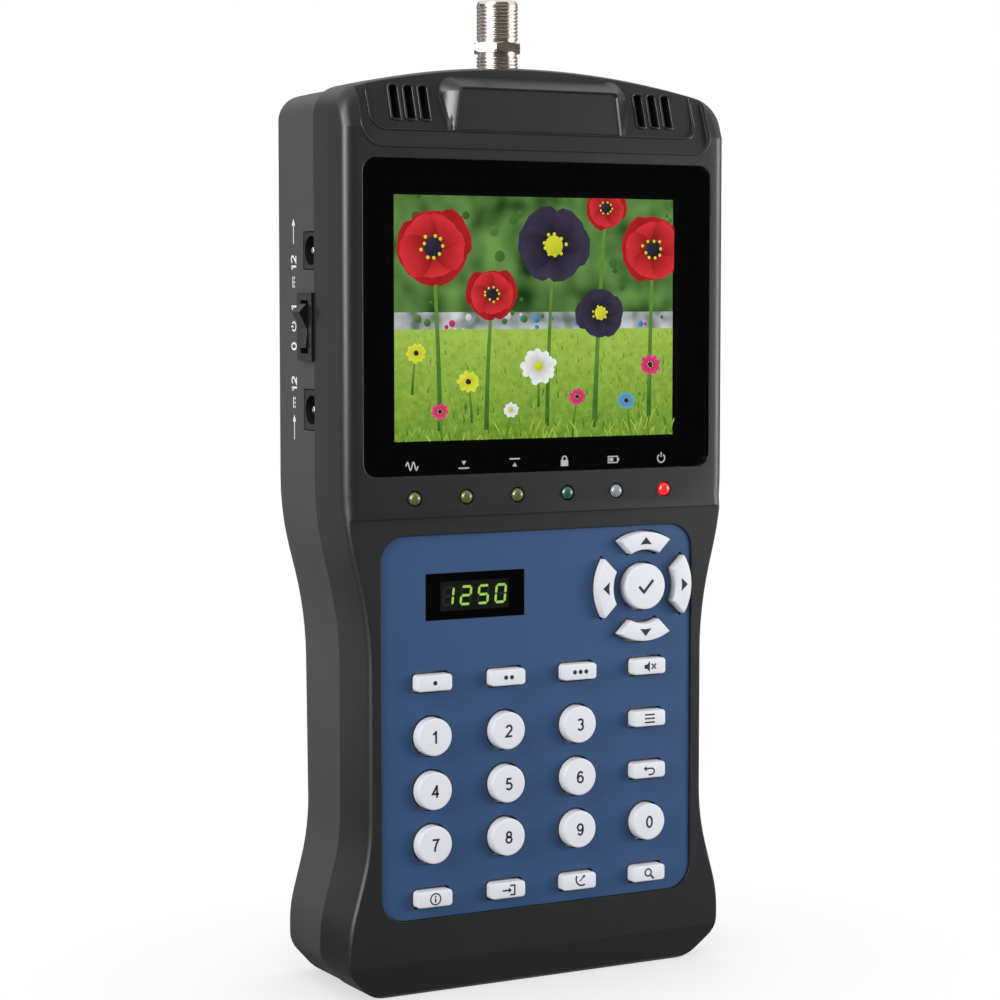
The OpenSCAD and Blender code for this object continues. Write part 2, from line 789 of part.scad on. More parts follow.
// One ring of the name pad, at a share of the way from the pocket floor to the face
function pad_ring(spread, share, sink) =
    let (half = pad_half(spread), face = pocket_depth(pocket_z) - pad_step)
    [
        for (p = concat(half, mirrored(half)))
            let (floor_d = pocket_depth(p[1]), face_d = face + (p[1] - pocket_z) * tan(pad_tilt))
            [p[0], at_depth(floor_d + (face_d - floor_d) * share + sink), p[1]]
    ];

// The raised pad in the pocket: a nearly upright face with hollow flanks
module name_pad() {
    flat_loft(concat(
        [pad_ring(1, 0, bite)],
        [
            for (i = [1:arc_steps])
                let (a = 90 * i / arc_steps)
                pad_ring(1 - sin(a), 1 - cos(a), 0)
        ]
    ));
}

module vent_slots() {
    for (side = [-1, 1], i = [0:vent_count - 1])
        between(-cut, front_d)
            rect_shape(
                side * vent_x + (i - (vent_count - 1) / 2) * vent_pitch,
                vent_z + vent_h / 2, vent_w, vent_h, vent_r
            );
}

// Bosses for the housing screws, and posts for the two boards
module front_bosses() {
    for (at = screws)
        rod(at[0], at[1], boss_d, front_wall + brow_depth(at[1]) - bite, front_d);
    for (at = posts)
        rod(at[0], at[1], post_d, front_wall - bite, key_board_depth);
    for (side = [-1, 1])
        rod(side * main_post_x, main_post_z, post_d, front_wall - bite, main_board_depth);
}

module front_housing() {
    color("#343436")
        difference() {
            union() {
                difference() {
                    front_form();
                    front_cavity();
                    brow_cut();
                    pocket_cut();
                }
                name_pad();
                front_bosses();
            }
            vent_slots();
            between(-cut, window_sink + window_t)
                window_shape(hole_gap / 2);
            between(0, front_wall + cut)
                rect_shape(0, view_z, view_w + 2 * view_margin, view_h + 2 * view_margin, view_margin);
            between(-cut, panel_depth + panel_t)
                panel_shape(hole_gap / 2);
            between(0, front_wall + cut)
                digits_shape(hole_gap - digits_margin);
            for (key = KEYS)
                between(0, front_wall + cut)
                    key_shape(key, key_slack);
            for (i = [0:lamp_count - 1])
                rod(lamp_x(i), lamp_z, lamp_d + 2 * hole_gap, -cut, front_wall + cut);
            for (at = screws)
                rod(at[0], at[1], screw_d + 2 * pilot_gap, screw_seat - screw_len - seat_gap, front_d + cut);
        }
}

// The outer form of the rear shell, with its rounded back edge and the groove at the parting line
module rear_form() {
    strip_loft(concat(
        [
            for (i = [0:edge_steps])
                let (angle = 90 - 90 * i / edge_steps)
                back_ring(rear_inset + rear_edge_r * (1 - cos(angle)), rear_edge_r * (1 - sin(angle)))
        ],
        [
            level_ring(outline(REAR, rear_inset), front_d + seam_groove),
            level_ring(outline(REAR, rear_inset + seam_groove), front_d)
        ]
    ));
}

module rear_cavity() {
    inset = rear_inset + wall;
    strip_loft([back_ring(inset, wall), level_ring(outline(REAR, inset), front_d - cut)]);
}

// Ribs across the back that hold the battery pack at its two ends
module battery_ribs() {
    width = cell_count * cell_d;
    for (z = [cell_z - seat_gap - rib_t, cell_z + cell_len + seat_gap])
        translate([-width / 2, at_depth(back_depth(z) - wall - rib_reach), z])
            cube([width, rib_reach + bite, rib_t]);
}

module rear_housing() {
    color("#4a4a4c")
        difference() {
            union() {
                difference() {
                    rear_form();
                    rear_cavity();
                }
                between(front_d - lip_h, front_d + bite)
                    difference() {
                        polygon(outline(FRONT, wall + lip_gap));
                        polygon(outline(REAR, rear_inset + wall));
                    }
                for (at = screws)
                    rod(at[0], at[1], pillar_d, front_d, back_depth(at[1]) - wall + bite);
                battery_ribs();
            }
            for (at = screws) {
                rod(at[0], at[1], screw_d + 2 * hole_gap, front_d - cut, screw_seat + cut);
                rod(at[0], at[1], screw_head_d + 2 * hole_gap, screw_seat, body_d + cut);
            }
            translate([0, at_depth(coax_depth), body_h - 4 * wall])
                cylinder(d = coax_d + 2 * hole_gap, h = 5 * wall);
            side_cut(outlet_z, outlet_h + 2 * port_gap, front_d - cut, port_depth + port_w + port_gap);
            side_cut(inlet_z, inlet_h + 2 * port_gap, front_d - cut, port_depth + port_w + port_gap);
            side_cut(
                switch_z, switch_h - 2 * bezel_lap + 2 * port_gap,
                port_depth + bezel_lap - port_gap, port_depth + port_w - bezel_lap + port_gap
            );
        }
}

// An opening through the left wall of the rear shell
module side_cut(z, h, from, to) {
    translate([side_x - cut, at_depth(from), z - h / 2])
        cube([wall + 2 * cut, to - from, h]);
}

module housing_screws() {
    color("#8c8c90")
        for (at = screws) {
            rod(at[0], at[1], screw_d, screw_seat - screw_len, screw_seat);
            rod(at[0], at[1], screw_head_d, screw_seat, screw_seat + screw_head_h);
        }
}

module display_window() {
    color("#08080a")
        between(window_sink, window_sink + window_t)
            window_shape(0);
}

module lcd_module() {
    color("#5c7a3a")
        between(front_wall, front_wall + lcd_t)
            translate([0, view_z])
                square([lcd_w, lcd_h], center = true);
}

module keypad_panel() {
    color("#35557d")
        between(panel_depth, panel_depth + panel_t)
            difference() {
                panel_shape(0);
                digits_shape(hole_gap / 2);
                for (key = KEYS)
                    key_shape(key, key_slack);
            }
}

module digit_window() {
    color("#0c0c0e")
        between(panel_depth, panel_depth + panel_t)
            digits_shape(0);
}

module digit_display() {
    color("#2c2e2c")
        between(panel_depth + panel_t, key_board_depth)
            digits_shape(-digits_margin);
}

module keypad_mat() {
    color("#b9bcc0") {
        between(key_board_depth - mat_t, key_board_depth)
            difference() {
                panel_shape(-hole_gap);
                digits_shape(hole_gap - digits_margin);
                for (at = posts)
                    translate(at)
                        circle(d = post_d + 2 * hole_gap);
            }
        for (key = KEYS)
            let (at = dome_place(key))
            rod(at[0], at[1], dome_d, dome_depth, key_board_depth - mat_t / 2);
    }
}

// A direction key's dome lies under the middle of its sector
function dome_place(key) =
    let (reach = key[1] == "arc" ? (nav_in_r + nav_out_r) / 2 : 0)
    [key_x(key) + reach * cos(key[2]), key_z(key) + reach * sin(key[2])];

function lamp_x(i) = (i - (lamp_count - 1) / 2) * lamp_pitch;

module key_board() {
    half = waist_w / 2 - wall - board_gap;
    neck = screw_x - boss_d / 2 - board_gap;
    top = lamp_z + link_h;
    color("#2f6b3c")
        between(key_board_depth, key_board_depth + board_t) {
            translate([-half, panel_z])
                square([2 * half, screw_mid_z - boss_d / 2 - board_gap - panel_z]);
            translate([-neck, panel_z])
                square([2 * neck, top - panel_z]);
        }
}

module main_board() {
    tab_z0 = inlet_z - inlet_h / 2 - tab_margin;
    tab_z1 = outlet_z + outlet_h / 2 + tab_margin;
    color("#2f6b3c")
        between(main_board_depth, main_board_depth + board_t) {
            translate([-main_board_w / 2, main_board_z])
                square([main_board_w, main_board_h]);
            translate([-main_board_w / 2 - tab_w, tab_z0])
                square([tab_w + bite, tab_z1 - tab_z0]);
        }
}

// The connector that carries the main board on the key board
module board_link() {
    color("#1c1c1e")
        between(key_board_depth + board_t, main_board_depth)
            translate([-link_w / 2, lamp_z - link_h / 2])
                square([link_w, link_h]);
}

module tuner_can() {
    color("#b4b6b8")
        between(main_board_depth + board_t, main_board_depth + board_t + tuner_t)
            translate([-tuner_w / 2, main_board_z + main_board_h - tuner_h])
                square([tuner_w, tuner_h]);
}

// A threaded barrel with a hexagonal collar, standing on the tuner can
module coax_barrel() {
    base = main_board_z + main_board_h;
    tip = body_h + coax_rise;
    collar = tip - coax_thread - collar_h;
    color("#c8c4ba")
        translate([0, at_depth(coax_depth), 0])
            difference() {
                union() {
                    translate([0, 0, base])
                        cylinder(d = coax_d, h = tip - lead_h - base);
                    translate([0, 0, tip - lead_h])
                        cylinder(d1 = coax_d, d2 = coax_d - 2 * lead_in, h = lead_h);
                    translate([0, 0, collar])
                        cylinder(d = collar_w / cos(30), h = collar_h, $fn = 6);
                }
                translate([0, 0, base + coax_floor])
                    cylinder(d = coax_bore, h = tip - base);
            }
}

module coax_insulator() {
    base = main_board_z + main_board_h + coax_floor;
    tip = body_h + coax_rise - insulator_sink;
    color("#ecebe4")
        translate([0, at_depth(coax_depth), 0])
            difference() {
                translate([0, 0, base])
                    cylinder(d = coax_bore - 2 * insulator_gap, h = tip - base);
                translate([0, 0, tip - coax_thread])
                    cylinder(d = coax_pin_d, h = coax_thread + cut);
            }
}

// A round lamp: dome, body, flange behind the wall and two leads down to the key board
module lamp(i) {
    r = lamp_d / 2;
    flange = front_wall + seat_gap;
    translate([lamp_x(i), at_depth(r - lamp_rise), lamp_z])
        sphere(r = r);
    rod(lamp_x(i), lamp_z, lamp_d, r - lamp_rise, flange + bite);
    rod(lamp_x(i), lamp_z, lamp_d + 2 * lamp_flange, flange, flange + lamp_flange_t);
    for (side = [-1, 1])
        rod(lamp_x(i) + side * r / 2, lamp_z, lead_d, flange + bite, key_board_depth);
}

module voltage_lamps() {
    color("#6f7340")
        for (i = [0:2])
            lamp(i);
}

module lock_lamp() {
    color("#2e5a4a")
        lamp(3);
}

module charge_lamp() {
    color("#8a8f90")
        lamp(4);
}

module power_lamp() {
    color("#d3141c")
        lamp(5);
}

// A power jack: a nose in the wall of the rear shell and a body on the main board
module jack(z, h) {
    back = main_board_depth + board_t;
    x0 = side_x + recess;
    x1 = x0 + nose_len;
    difference() {
        union() {
            translate([x0, at_depth(port_depth), z - h / 2])
                cube([nose_len + bite, port_w, h]);
            translate([x1, at_depth(back), z - h / 2])
                cube([jack_len - nose_len, port_depth + port_w - back, h]);
        }
        translate([x0 - cut, at_depth(port_mid), z])
            rotate([0, 90, 0])
                cylinder(d = plug_d, h = plug_deep + cut);
        translate([x0, at_depth(port_mid), z])
            rotate([0, 90, 0])
                cylinder(d = contact_d + 2 * pilot_gap, h = jack_len + cut);
    }
}

module outlet_jack() {
    color("#1d1d1f")
        jack(outlet_z, outlet_h);
}

module inlet_jack() {
    color("#1d1d1f")
        jack(inlet_z, inlet_h);
}

module contact_pins() {
    color("#c9c6bd")
        for (z = [outlet_z, inlet_z])
            translate([side_x + 2 * recess + contact_d / 2, at_depth(port_mid), z])
                rotate([0, 90, 0]) {
                    cylinder(d = contact_d, h = jack_len - recess - contact_d / 2);
                    sphere(d = contact_d);
                }
}

module switch_body() {
    bezel_x = side_x - bezel_t;
    pivot_x = bezel_x + pivot_deep;
    well = pivot_deep + rocker_rise + cut;
    slot_w = rocker_w + 2 * rocker_gap;
    slot_h = rocker_h + 2 * rocker_gap;
    inner_h = switch_h - 2 * bezel_lap;
    inner_w = port_w - 2 * bezel_lap;
    color("#1b1b1d")
        difference() {
            union() {
                translate([bezel_x, at_depth(port_depth), switch_z - switch_h / 2])
                    cube([bezel_t, port_w, switch_h]);
                translate([side_x - bite, at_depth(port_mid) - inner_w / 2, switch_z - inner_h / 2])
                    cube([switch_len + bite, inner_w, inner_h]);
            }
            translate([bezel_x - cut, at_depth(port_mid) - slot_w / 2, switch_z - slot_h / 2])
                cube([well + cut, slot_w, slot_h]);
            rocker_pins(pivot_x, pilot_gap);
        }
}

// The pivot pins of the rocker, or with a gap the holes that they turn in
module rocker_pins(x, gap) {
    reach = rocker_w + 2 * rocker_gap + 2 * (pivot_d / 4 + gap);
    translate([x, at_depth(port_mid) - reach / 2, switch_z])
        rotate([-90, 0, 0])
            cylinder(d = pivot_d + 2 * gap, h = reach);
}

// The rocker, pressed in at its lower end
module switch_rocker() {
    pivot_x = side_x - bezel_t + pivot_deep;
    half = rocker_h / 2 - rocker_gap;
    color("#161618")
        translate([pivot_x, 0, switch_z]) {
            rotate([0, -rocker_tilt, 0])
                translate([0, at_depth(port_mid) + rocker_w / 2, 0])
                    rotate([90, 0, 0])
                        linear_extrude(rocker_w)
                            polygon([
                                [rocker_heel, -pivot_d], [0, -half + rocker_gap], [-rocker_end, -half],
                                [-rocker_rise, -rocker_ridge], [-rocker_dip, 0],
                                [-rocker_rise, rocker_ridge], [-rocker_end, half],
                                [0, half - rocker_gap], [rocker_heel, pivot_d]
                            ]);
            translate([-pivot_x, 0, -switch_z])
                rocker_pins(pivot_x, 0);
        }
}

// Round cells side by side in one wrapped pack
module battery_pack() {
    middle = back_depth(cell_z) - wall - seat_gap - cell_d / 2;
    color("#3a6ea0")
        translate([0, at_depth(middle), cell_z]) {
            for (i = [0:cell_count - 1])
                translate([(i - (cell_count - 1) / 2) * cell_d, 0, 0])
                    cylinder(d = cell_d, h = cell_len);
            translate([-(cell_count - 1) * cell_d / 2, -wrap_t / 2, 0])
                cube([(cell_count - 1) * cell_d, wrap_t, cell_len]);
        }
}

// A speaker behind the vents: a flat frame with a round cone, square to the leaning wall
module speaker(side) {
    z = vent_z + speaker_up;
    translate([side * vent_x, at_depth(front_wall + brow_depth(z)), z])
        rotate([-head_tilt, 0, 0])
            difference() {
                translate([-speaker_w / 2, seat_gap, -speaker_h / 2])
                    cube([speaker_w, speaker_t, speaker_h]);
                translate([0, seat_gap, 0])
                    rotate([-90, 0, 0])
                        cylinder(d1 = cone_d, d2 = cone_back_d, h = cone_deep);
            }
}

module speaker_left() {
    color("#2a2a2c")
        speaker(-1);
}

module speaker_right() {
    color("#2a2a2c")
        speaker(1);
}

// Profile of a round key's rim: a quarter round at its upper edge
function rim(r, height) = concat(
    [[0, 0], [r, 0]],
    [for (i = [0:arc_steps]) let (a = 90 * i / arc_steps)
        [r - key_edge_r * (1 - cos(a)), height - key_edge_r * (1 - sin(a))]],
    [[0, height]]
);

// A key: a cap with a rounded rim that comes through the panel, on a flange behind the wall
module key(key) {
    rise = flange_depth - key_front;
    color("#e6e6ec") {
        if (key[1] == "round" || key[1] == "centre")
            translate([key_x(key), at_depth(flange_depth), key_z(key)])
                rotate([90, 0, 0])
                    rotate_extrude()
                        polygon(rim((key[1] == "round" ? key_d : ok_d) / 2, rise));
        else
            translate([key_x(key), 0, key_z(key)])
                flat_loft(concat(
                    [level_ring(key_points(key, 0), flange_depth + flange_t / 2)],
                    [
                        for (i = [0:rim_steps])
                            let (a = 90 * i / rim_steps)
                            level_ring(
                                key_points(key, -key_edge_r * (1 - cos(a))),
                                key_front + key_edge_r * (1 - sin(a))
                            )
                    ]
                ));
        between(flange_depth, key_back)
            key_shape(key, key_slack + flange_w);
    }
}

front_housing();
rear_housing();
housing_screws();
display_window();
lcd_module();
keypad_panel();
digit_window();
digit_display();
keypad_mat();
key_board();
main_board();
board_link();
tuner_can();
coax_barrel();
coax_insulator();
voltage_lamps();
lock_lamp();
charge_lamp();
power_lamp();
outlet_jack();
inlet_jack();
contact_pins();
switch_body();
switch_rocker();
battery_pack();
speaker_left();
speaker_right();
for (key = KEYS)
    key(key);
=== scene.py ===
# %% [markdown]
# # A handheld satellite signal meter
# The meter is a waisted plastic case with a screen, a blue keypad and a threaded socket on top.
# Its solids come from CAD, in metres, with the screen facing -Y. This lesson gives them
# finishes, prints the keys, lights the screen and cuts the thread, without moving a solid.

import math
import random

import bmesh
import bpy
from mathutils import Matrix, Vector
from mathutils.bvhtree import BVHTree


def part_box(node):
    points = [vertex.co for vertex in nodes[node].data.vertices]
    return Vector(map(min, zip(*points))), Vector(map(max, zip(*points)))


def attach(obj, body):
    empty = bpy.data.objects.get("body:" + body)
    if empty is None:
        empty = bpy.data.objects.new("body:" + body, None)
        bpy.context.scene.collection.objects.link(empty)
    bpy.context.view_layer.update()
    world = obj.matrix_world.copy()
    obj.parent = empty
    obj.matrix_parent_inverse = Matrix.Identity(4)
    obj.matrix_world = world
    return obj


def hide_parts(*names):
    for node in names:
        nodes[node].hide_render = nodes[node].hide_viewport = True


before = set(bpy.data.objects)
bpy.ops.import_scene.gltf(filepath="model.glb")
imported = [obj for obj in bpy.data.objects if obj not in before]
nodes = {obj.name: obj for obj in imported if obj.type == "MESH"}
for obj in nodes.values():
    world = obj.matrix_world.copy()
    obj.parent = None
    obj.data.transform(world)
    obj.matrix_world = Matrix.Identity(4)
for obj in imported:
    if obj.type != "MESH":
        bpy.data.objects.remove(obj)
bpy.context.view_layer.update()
MM = 0.001

# %% [markdown]
# ## The camera
# The photograph was taken from the left of the screen, a little above its middle, with a
# long lens. A long lens keeps the upright edges of a product nearly parallel. We could
# guess by eye, but solving for the lens from known points gives the place in one go.

# %% Place the camera
LENS_MM = 97.2
SENSOR_MM = 36
CAMERA_PLACE = Vector((-293.73, -531.06, 151.39)) * MM
CAMERA_GAZE = Vector((0.4827, 0.8726, -0.0750))

camera_data = bpy.data.cameras.new("photo_camera")
camera_data.lens = LENS_MM
camera_data.sensor_width = SENSOR_MM
camera_data.clip_start = 0.01
camera = bpy.data.objects.new("photo_camera", camera_data)
bpy.context.scene.collection.objects.link(camera)
camera.location = CAMERA_PLACE
camera.rotation_mode = "QUATERNION"
camera.rotation_quaternion = CAMERA_GAZE.to_track_quat("-Z", "Y")
bpy.context.scene.camera = camera
bpy.context.scene.view_settings.view_transform = "Standard"
print("camera stands", round(CAMERA_PLACE.length, 3), "m from the sole")

# %% [markdown]
# ## The world and the floor
# A product photograph has a white background that does not flood the product with light.
# The world is therefore white to the camera and to reflections, and softer to matt
# surfaces. The floor does the same, and an occlusion node keeps the contact shadow on it.
# A few helpers set the inputs of a node and link nodes, and all the finishes use them too.

# %% Helpers for shader nodes


def set_inputs(node, **values):
    """Sets inputs of a node by their labels. A space in a label is written as _ here."""
    for label, value in values.items():
        node.inputs[label.replace("_", " ")].default_value = value
    return node


def add_node(tree, kind, **values):
    return set_inputs(tree.nodes.new("ShaderNode" + kind), **values)


def wire(tree, *links):
    """Makes links, each given as a node, its output, the next node and the input there."""
    for node, output, after, entry in links:
        tree.links.new(node.outputs[output], after.inputs[entry])


def seen_directly(tree):
    """A value that is 1 for rays of the camera, of reflections and of glass."""
    path = add_node(tree, "LightPath")
    total = path.outputs["Is Camera Ray"]
    for label in ("Is Glossy Ray", "Is Transmission Ray"):
        either = add_node(tree, "Math")
        either.operation = "MAXIMUM"
        tree.links.new(total, either.inputs[0])
        tree.links.new(path.outputs[label], either.inputs[1])
        total = either.outputs[0]
    return total


def choose_shader(tree, soft, seen, out):
    """One shader lights matt surfaces, and the other is what direct rays see."""
    choose = add_node(tree, "MixShader")
    tree.links.new(seen_directly(tree), choose.inputs[0])
    tree.links.new(soft.outputs[0], choose.inputs[1])
    tree.links.new(seen.outputs[0], choose.inputs[2])
    tree.links.new(choose.outputs[0], out.inputs["Surface"])


print("node helpers ready")

# %% White surroundings
WORLD_LIGHT = 0.44
WHITE = (1, 1, 1)
world = bpy.data.worlds.new("studio")
world.use_nodes = True
bpy.context.scene.world = world
tree = world.node_tree
tree.nodes.clear()
soft = add_node(tree, "Background", Strength=WORLD_LIGHT)
white = add_node(tree, "Background", Color=WHITE + (1,))
choose_shader(tree, soft, white, add_node(tree, "OutputWorld"))
print("world light:", WORLD_LIGHT)

# %% Lay the floor
FLOOR_SIZE = 30.0
FLOOR_DROP = 0.1 * MM
FLOOR_GREY = (0.5, 0.5, 0.5, 1)
SHADOW_REACH = 0.07
SHADOW_SAMPLES = 8
SHADOW_TONE = (0.62, 0.62, 0.63)


def new_paint(name):
    """A material with its node tree and its shader."""
    paint = bpy.data.materials.new(name)
    paint.use_nodes = True
    return paint, paint.node_tree, paint.node_tree.nodes["Principled BSDF"]


def mix_colours(tree, first, second):
    mix = tree.nodes.new("ShaderNodeMix")
    mix.data_type = "RGBA"
    return set_inputs(mix, A=first + (1,), B=second + (1,))


def stage_mesh(name, points, faces, paint):
    """A mesh that belongs to the studio and not to the meter."""
    mesh = bpy.data.meshes.new(name)
    mesh.from_pydata(points, [], faces)
    mesh.materials.append(paint)
    item = bpy.data.objects.new(name, mesh)
    bpy.context.scene.collection.objects.link(item)
    return item


floor_paint, tree, paper = new_paint("floor_paper")
set_inputs(paper, Base_Color=FLOOR_GREY, Roughness=0.9)
near = add_node(tree, "AmbientOcclusion", Distance=SHADOW_REACH)
near.samples = SHADOW_SAMPLES
shade = mix_colours(tree, SHADOW_TONE, WHITE)
glow = add_node(tree, "Emission")
wire(tree, (near, "AO", shade, "Factor"), (shade, "Result", glow, "Color"))
choose_shader(tree, paper, glow, tree.nodes["Material Output"])
half = FLOOR_SIZE / 2
corners = [(x * half, y * half, -FLOOR_DROP) for x, y in ((-1, -1), (1, -1), (1, 1), (-1, 1))]
stage_mesh("floor", corners, [(0, 1, 2, 3)], floor_paint)
print("floor of", FLOOR_SIZE, "m")

# %% [markdown]
# ## The lamps
# Four soft boxes, large for their distance, so that no shadow has a hard edge. The main one
# at the right front gives the small shadows beside the keys and is kept out of the gloss.
# One further right puts a sheen on the front, a tall one draws the line on the left edge,
# and a high one lights the slopes of the head.

# %% Hang the soft boxes
AIM = Vector((0, 0, 110)) * MM
SOFT_BOXES = [  # name, place, width and height in mm, power in watts, seen in gloss
    ("key_box", (400, -420, 170), 260, 260, 1.95, False),
    ("right_box", (575, -280, 160), 260, 300, 1.8, True),
    ("left_box", (-690, -185, 330), 240, 460, 5.0, True),
    ("high_box", (-420, -260, 620), 200, 200, 1.2, True),
]


def soft_box(name, place, width, height, power, in_gloss):
    light = bpy.data.lights.new(name, "AREA")
    light.shape = "RECTANGLE"
    light.size = width * MM
    light.size_y = height * MM
    light.energy = power
    box = bpy.data.objects.new(name, light)
    bpy.context.scene.collection.objects.link(box)
    box.location = Vector(place) * MM
    box.rotation_mode = "QUATERNION"
    box.rotation_quaternion = (AIM - box.location).to_track_quat("-Z", "Y")
    box.visible_glossy = in_gloss
    box.visible_transmission = in_gloss


for lamp in SOFT_BOXES:
    soft_box(*lamp)
print("soft boxes:", len(SOFT_BOXES))

# %% [markdown]
# ## The cards
# Gloss shows whatever stands opposite. In an all-white room the screen would turn grey and
# the nickel flat, so photographers put up cards. Ours are bent round the meter, each over a
# range of bearings from the front, and only reflections and glass can see them.

# %% Put up the cards
GROUND = 0.0005
NEAR, MIDDLE, FAR = 0.012, 0.3, 0.9
EYE_HIGH, WALL_HIGH = 0.34, 0.6
BEND, TOP = (0.7, 0.85), (0.45, 0.97)
NEAR_GROUND = [(NEAR, GROUND), (MIDDLE, GROUND)]
FAR_GROUND = [(MIDDLE, GROUND), (FAR, GROUND)]
LOW_WALL = [(FAR, GROUND), (FAR, EYE_HIGH)]
HIGH_WALL = [(FAR, EYE_HIGH), (FAR, WALL_HIGH)]
CEILING = [(FAR, WALL_HIGH), BEND]
OVERHEAD = [BEND, TOP]
CARDS = [  # name, first and last bearing, profile, tone
    ("front_near", -100, 75, NEAR_GROUND, 0.16),
    ("front_far", -51, 40, FAR_GROUND, 0.03),
    ("front_low", -51, 40, LOW_WALL, 0.03),
    ("front_high", -51, 46, HIGH_WALL, 0.3),
    ("front_ceiling", -51, 46, CEILING, 0.05),
    ("front_top", -51, 46, OVERHEAD, 0.45),
    ("left_near", -155, -100, NEAR_GROUND, 0.08),
    ("left_far", -150, -100, FAR_GROUND, 0.26),
    ("left_low", -150, -100, LOW_WALL, 0.26),
    ("left_high", -150, -100, HIGH_WALL, 0.05),
    ("back_near", 100, 205, NEAR_GROUND, 0.2),
    ("back_far", 100, 205, FAR_GROUND, 0.2),
    ("back_low", 100, 205, LOW_WALL, 0.2),
    ("back_high", 100, 205, HIGH_WALL, 0.2),
]
CARD_STEPS = 16


def bent_card(name, start, end, profile, tone):
    """Two points of (distance, height), carried round from one bearing to another."""
    paint, _, shader = new_paint(name)
    set_inputs(shader, Base_Color=(0, 0, 0, 1), Specular_IOR_Level=0)
    set_inputs(shader, Emission_Color=(tone, tone, tone, 1), Emission_Strength=1)
    points = []
    for i in range(CARD_STEPS + 1):
        bearing = math.radians(start + (end - start) * i / CARD_STEPS)
        for reach, z in profile:
            points.append((reach * math.sin(bearing), -reach * math.cos(bearing), z))
    faces = [(a, a + 1, a + 3, a + 2) for a in range(0, 2 * CARD_STEPS, 2)]
    card = stage_mesh(name, points, faces, paint)
    card.visible_camera = False
    card.visible_diffuse = False
    card.visible_shadow = False


for card in CARDS:
    bent_card(*card)
print("cards:", len(CARDS))

# %% [markdown]
# ## Shared surface effects
# Moulded plastic is never quite even. A spark-eroded mould leaves a fine grain, thick and
# thin walls cool to slightly different tones, and fingers polish some places. These are
# node groups, built once, so each finish can use them at its own size and strength.

# %% Helpers for node groups


def shader_group(name, inputs, outputs):
    group = bpy.data.node_groups.new(name, "ShaderNodeTree")
    for label, value in inputs:
        socket = group.interface.new_socket(label, in_out="INPUT", socket_type="NodeSocketFloat")
        socket.default_value = value
    for label in outputs:
        group.interface.new_socket(label, in_out="OUTPUT", socket_type="NodeSocketFloat")
    return group, group.nodes.new("NodeGroupInput"), group.nodes.new("NodeGroupOutput")


def feed(group, socket, value):
    """Set a socket to a number, or link it to the socket that is given."""
    if isinstance(value, (int, float)):
        socket.default_value = value
    else:
        group.links.new(value, socket)


def noise_in(group, place, scale, detail, roughness=0.5):
    texture = add_node(group, "TexNoise", Roughness=roughness)
    feed(group, texture.inputs["Detail"], detail)
    group.links.new(place, texture.inputs["Vector"])
    group.links.new(scale, texture.inputs["Scale"])
    return texture.outputs["Fac"]


def math_in(group, operation, first, second):
    step = add_node(group, "Math")
    step.operation = operation
    feed(group, step.inputs[0], first)
    feed(group, step.inputs[1], second)
    return step.outputs[0]


print("group helpers ready")

# %% Build the node groups
grain, given, result = shader_group(
    "moulded_grain", [("Grain Scale", 2600.0), ("Cloud Scale", 30.0)], ["Height", "Cloud"]
)
place = add_node(grain, "TexCoord").outputs["Object"]
fine = noise_in(grain, place, given.outputs["Grain Scale"], 3.0, 0.6)
grain.links.new(fine, result.inputs["Height"])
grain.links.new(noise_in(grain, place, given.outputs["Cloud Scale"], 4.0), result.inputs["Cloud"])

handling, given, result = shader_group(
    "handling_marks", [("Roughness", 0.45), ("Amount", 0.12), ("Mark Scale", 90.0)], ["Roughness"]
)
place = add_node(handling, "TexCoord").outputs["Object"]
marks = noise_in(handling, place, given.outputs["Mark Scale"], 5.0, 0.65)
swing = math_in(handling, "SUBTRACT", marks, 0.5)
swing = math_in(handling, "MULTIPLY", swing, given.outputs["Amount"])
handled = math_in(handling, "ADD", given.outputs["Roughness"], swing)
handling.links.new(handled, result.inputs["Roughness"])
print("node groups:", [g.name for g in bpy.data.node_groups])

# %% [markdown]
# ## Finishes
# One recipe serves every moulded piece: a base colour that drifts a little, a roughness
# with handling marks, and a grain that only bends the light. The corner of a moulded edge
# is never razor sharp, so a Bevel node rounds the shading there by a fraction of a mm.

# %% The moulded plastic recipe
GRAIN_STRENGTH = 0.6
EDGE_SAMPLES = 4


def place_group(tree, group, **values):
    node = tree.nodes.new("ShaderNodeGroup")
    node.node_tree = group
    return set_inputs(node, **values)


def surface(name, tints, grain_values, mark_values, bump_values):
    """What all finishes share: two tints, and a grain, marks and a bump with their values."""
    paint, tree, shader = new_paint(name)
    tint = mix_colours(tree, *tints)
    grained = place_group(tree, grain, **grain_values)
    handled = place_group(tree, handling, **mark_values)
    bump = add_node(tree, "Bump", **bump_values)
    wire(
        tree,
        (grained, "Cloud", tint, "Factor"), (tint, "Result", shader, "Base Color"),
        (handled, "Roughness", shader, "Roughness"), (grained, "Height", bump, "Height"),
        (bump, "Normal", shader, "Normal"),
    )
    return paint, shader, bump


def moulded(
    name, colour, roughness, grain_scale, grain_mm, edge_mm=0.2, drift=0.12, marks=0.12, gloss=0.5
):
    """A plastic finish: linear colour, grain per metre with its height, and edge rounding."""
    dark = tuple(c * (1 - drift) for c in colour)
    light = tuple(min(1, c * (1 + drift)) for c in colour)
    paint, shader, bump = surface(
        name, (dark, light), dict(Grain_Scale=grain_scale), dict(Roughness=roughness, Amount=marks),
        dict(Distance=grain_mm * MM, Strength=GRAIN_STRENGTH),
    )
    set_inputs(shader, Specular_IOR_Level=gloss)
    rounded = add_node(paint.node_tree, "Bevel", Radius=edge_mm * MM)
    rounded.samples = EDGE_SAMPLES
    wire(paint.node_tree, (rounded, "Normal", bump, "Normal"))
    return paint


print("moulded recipe ready")

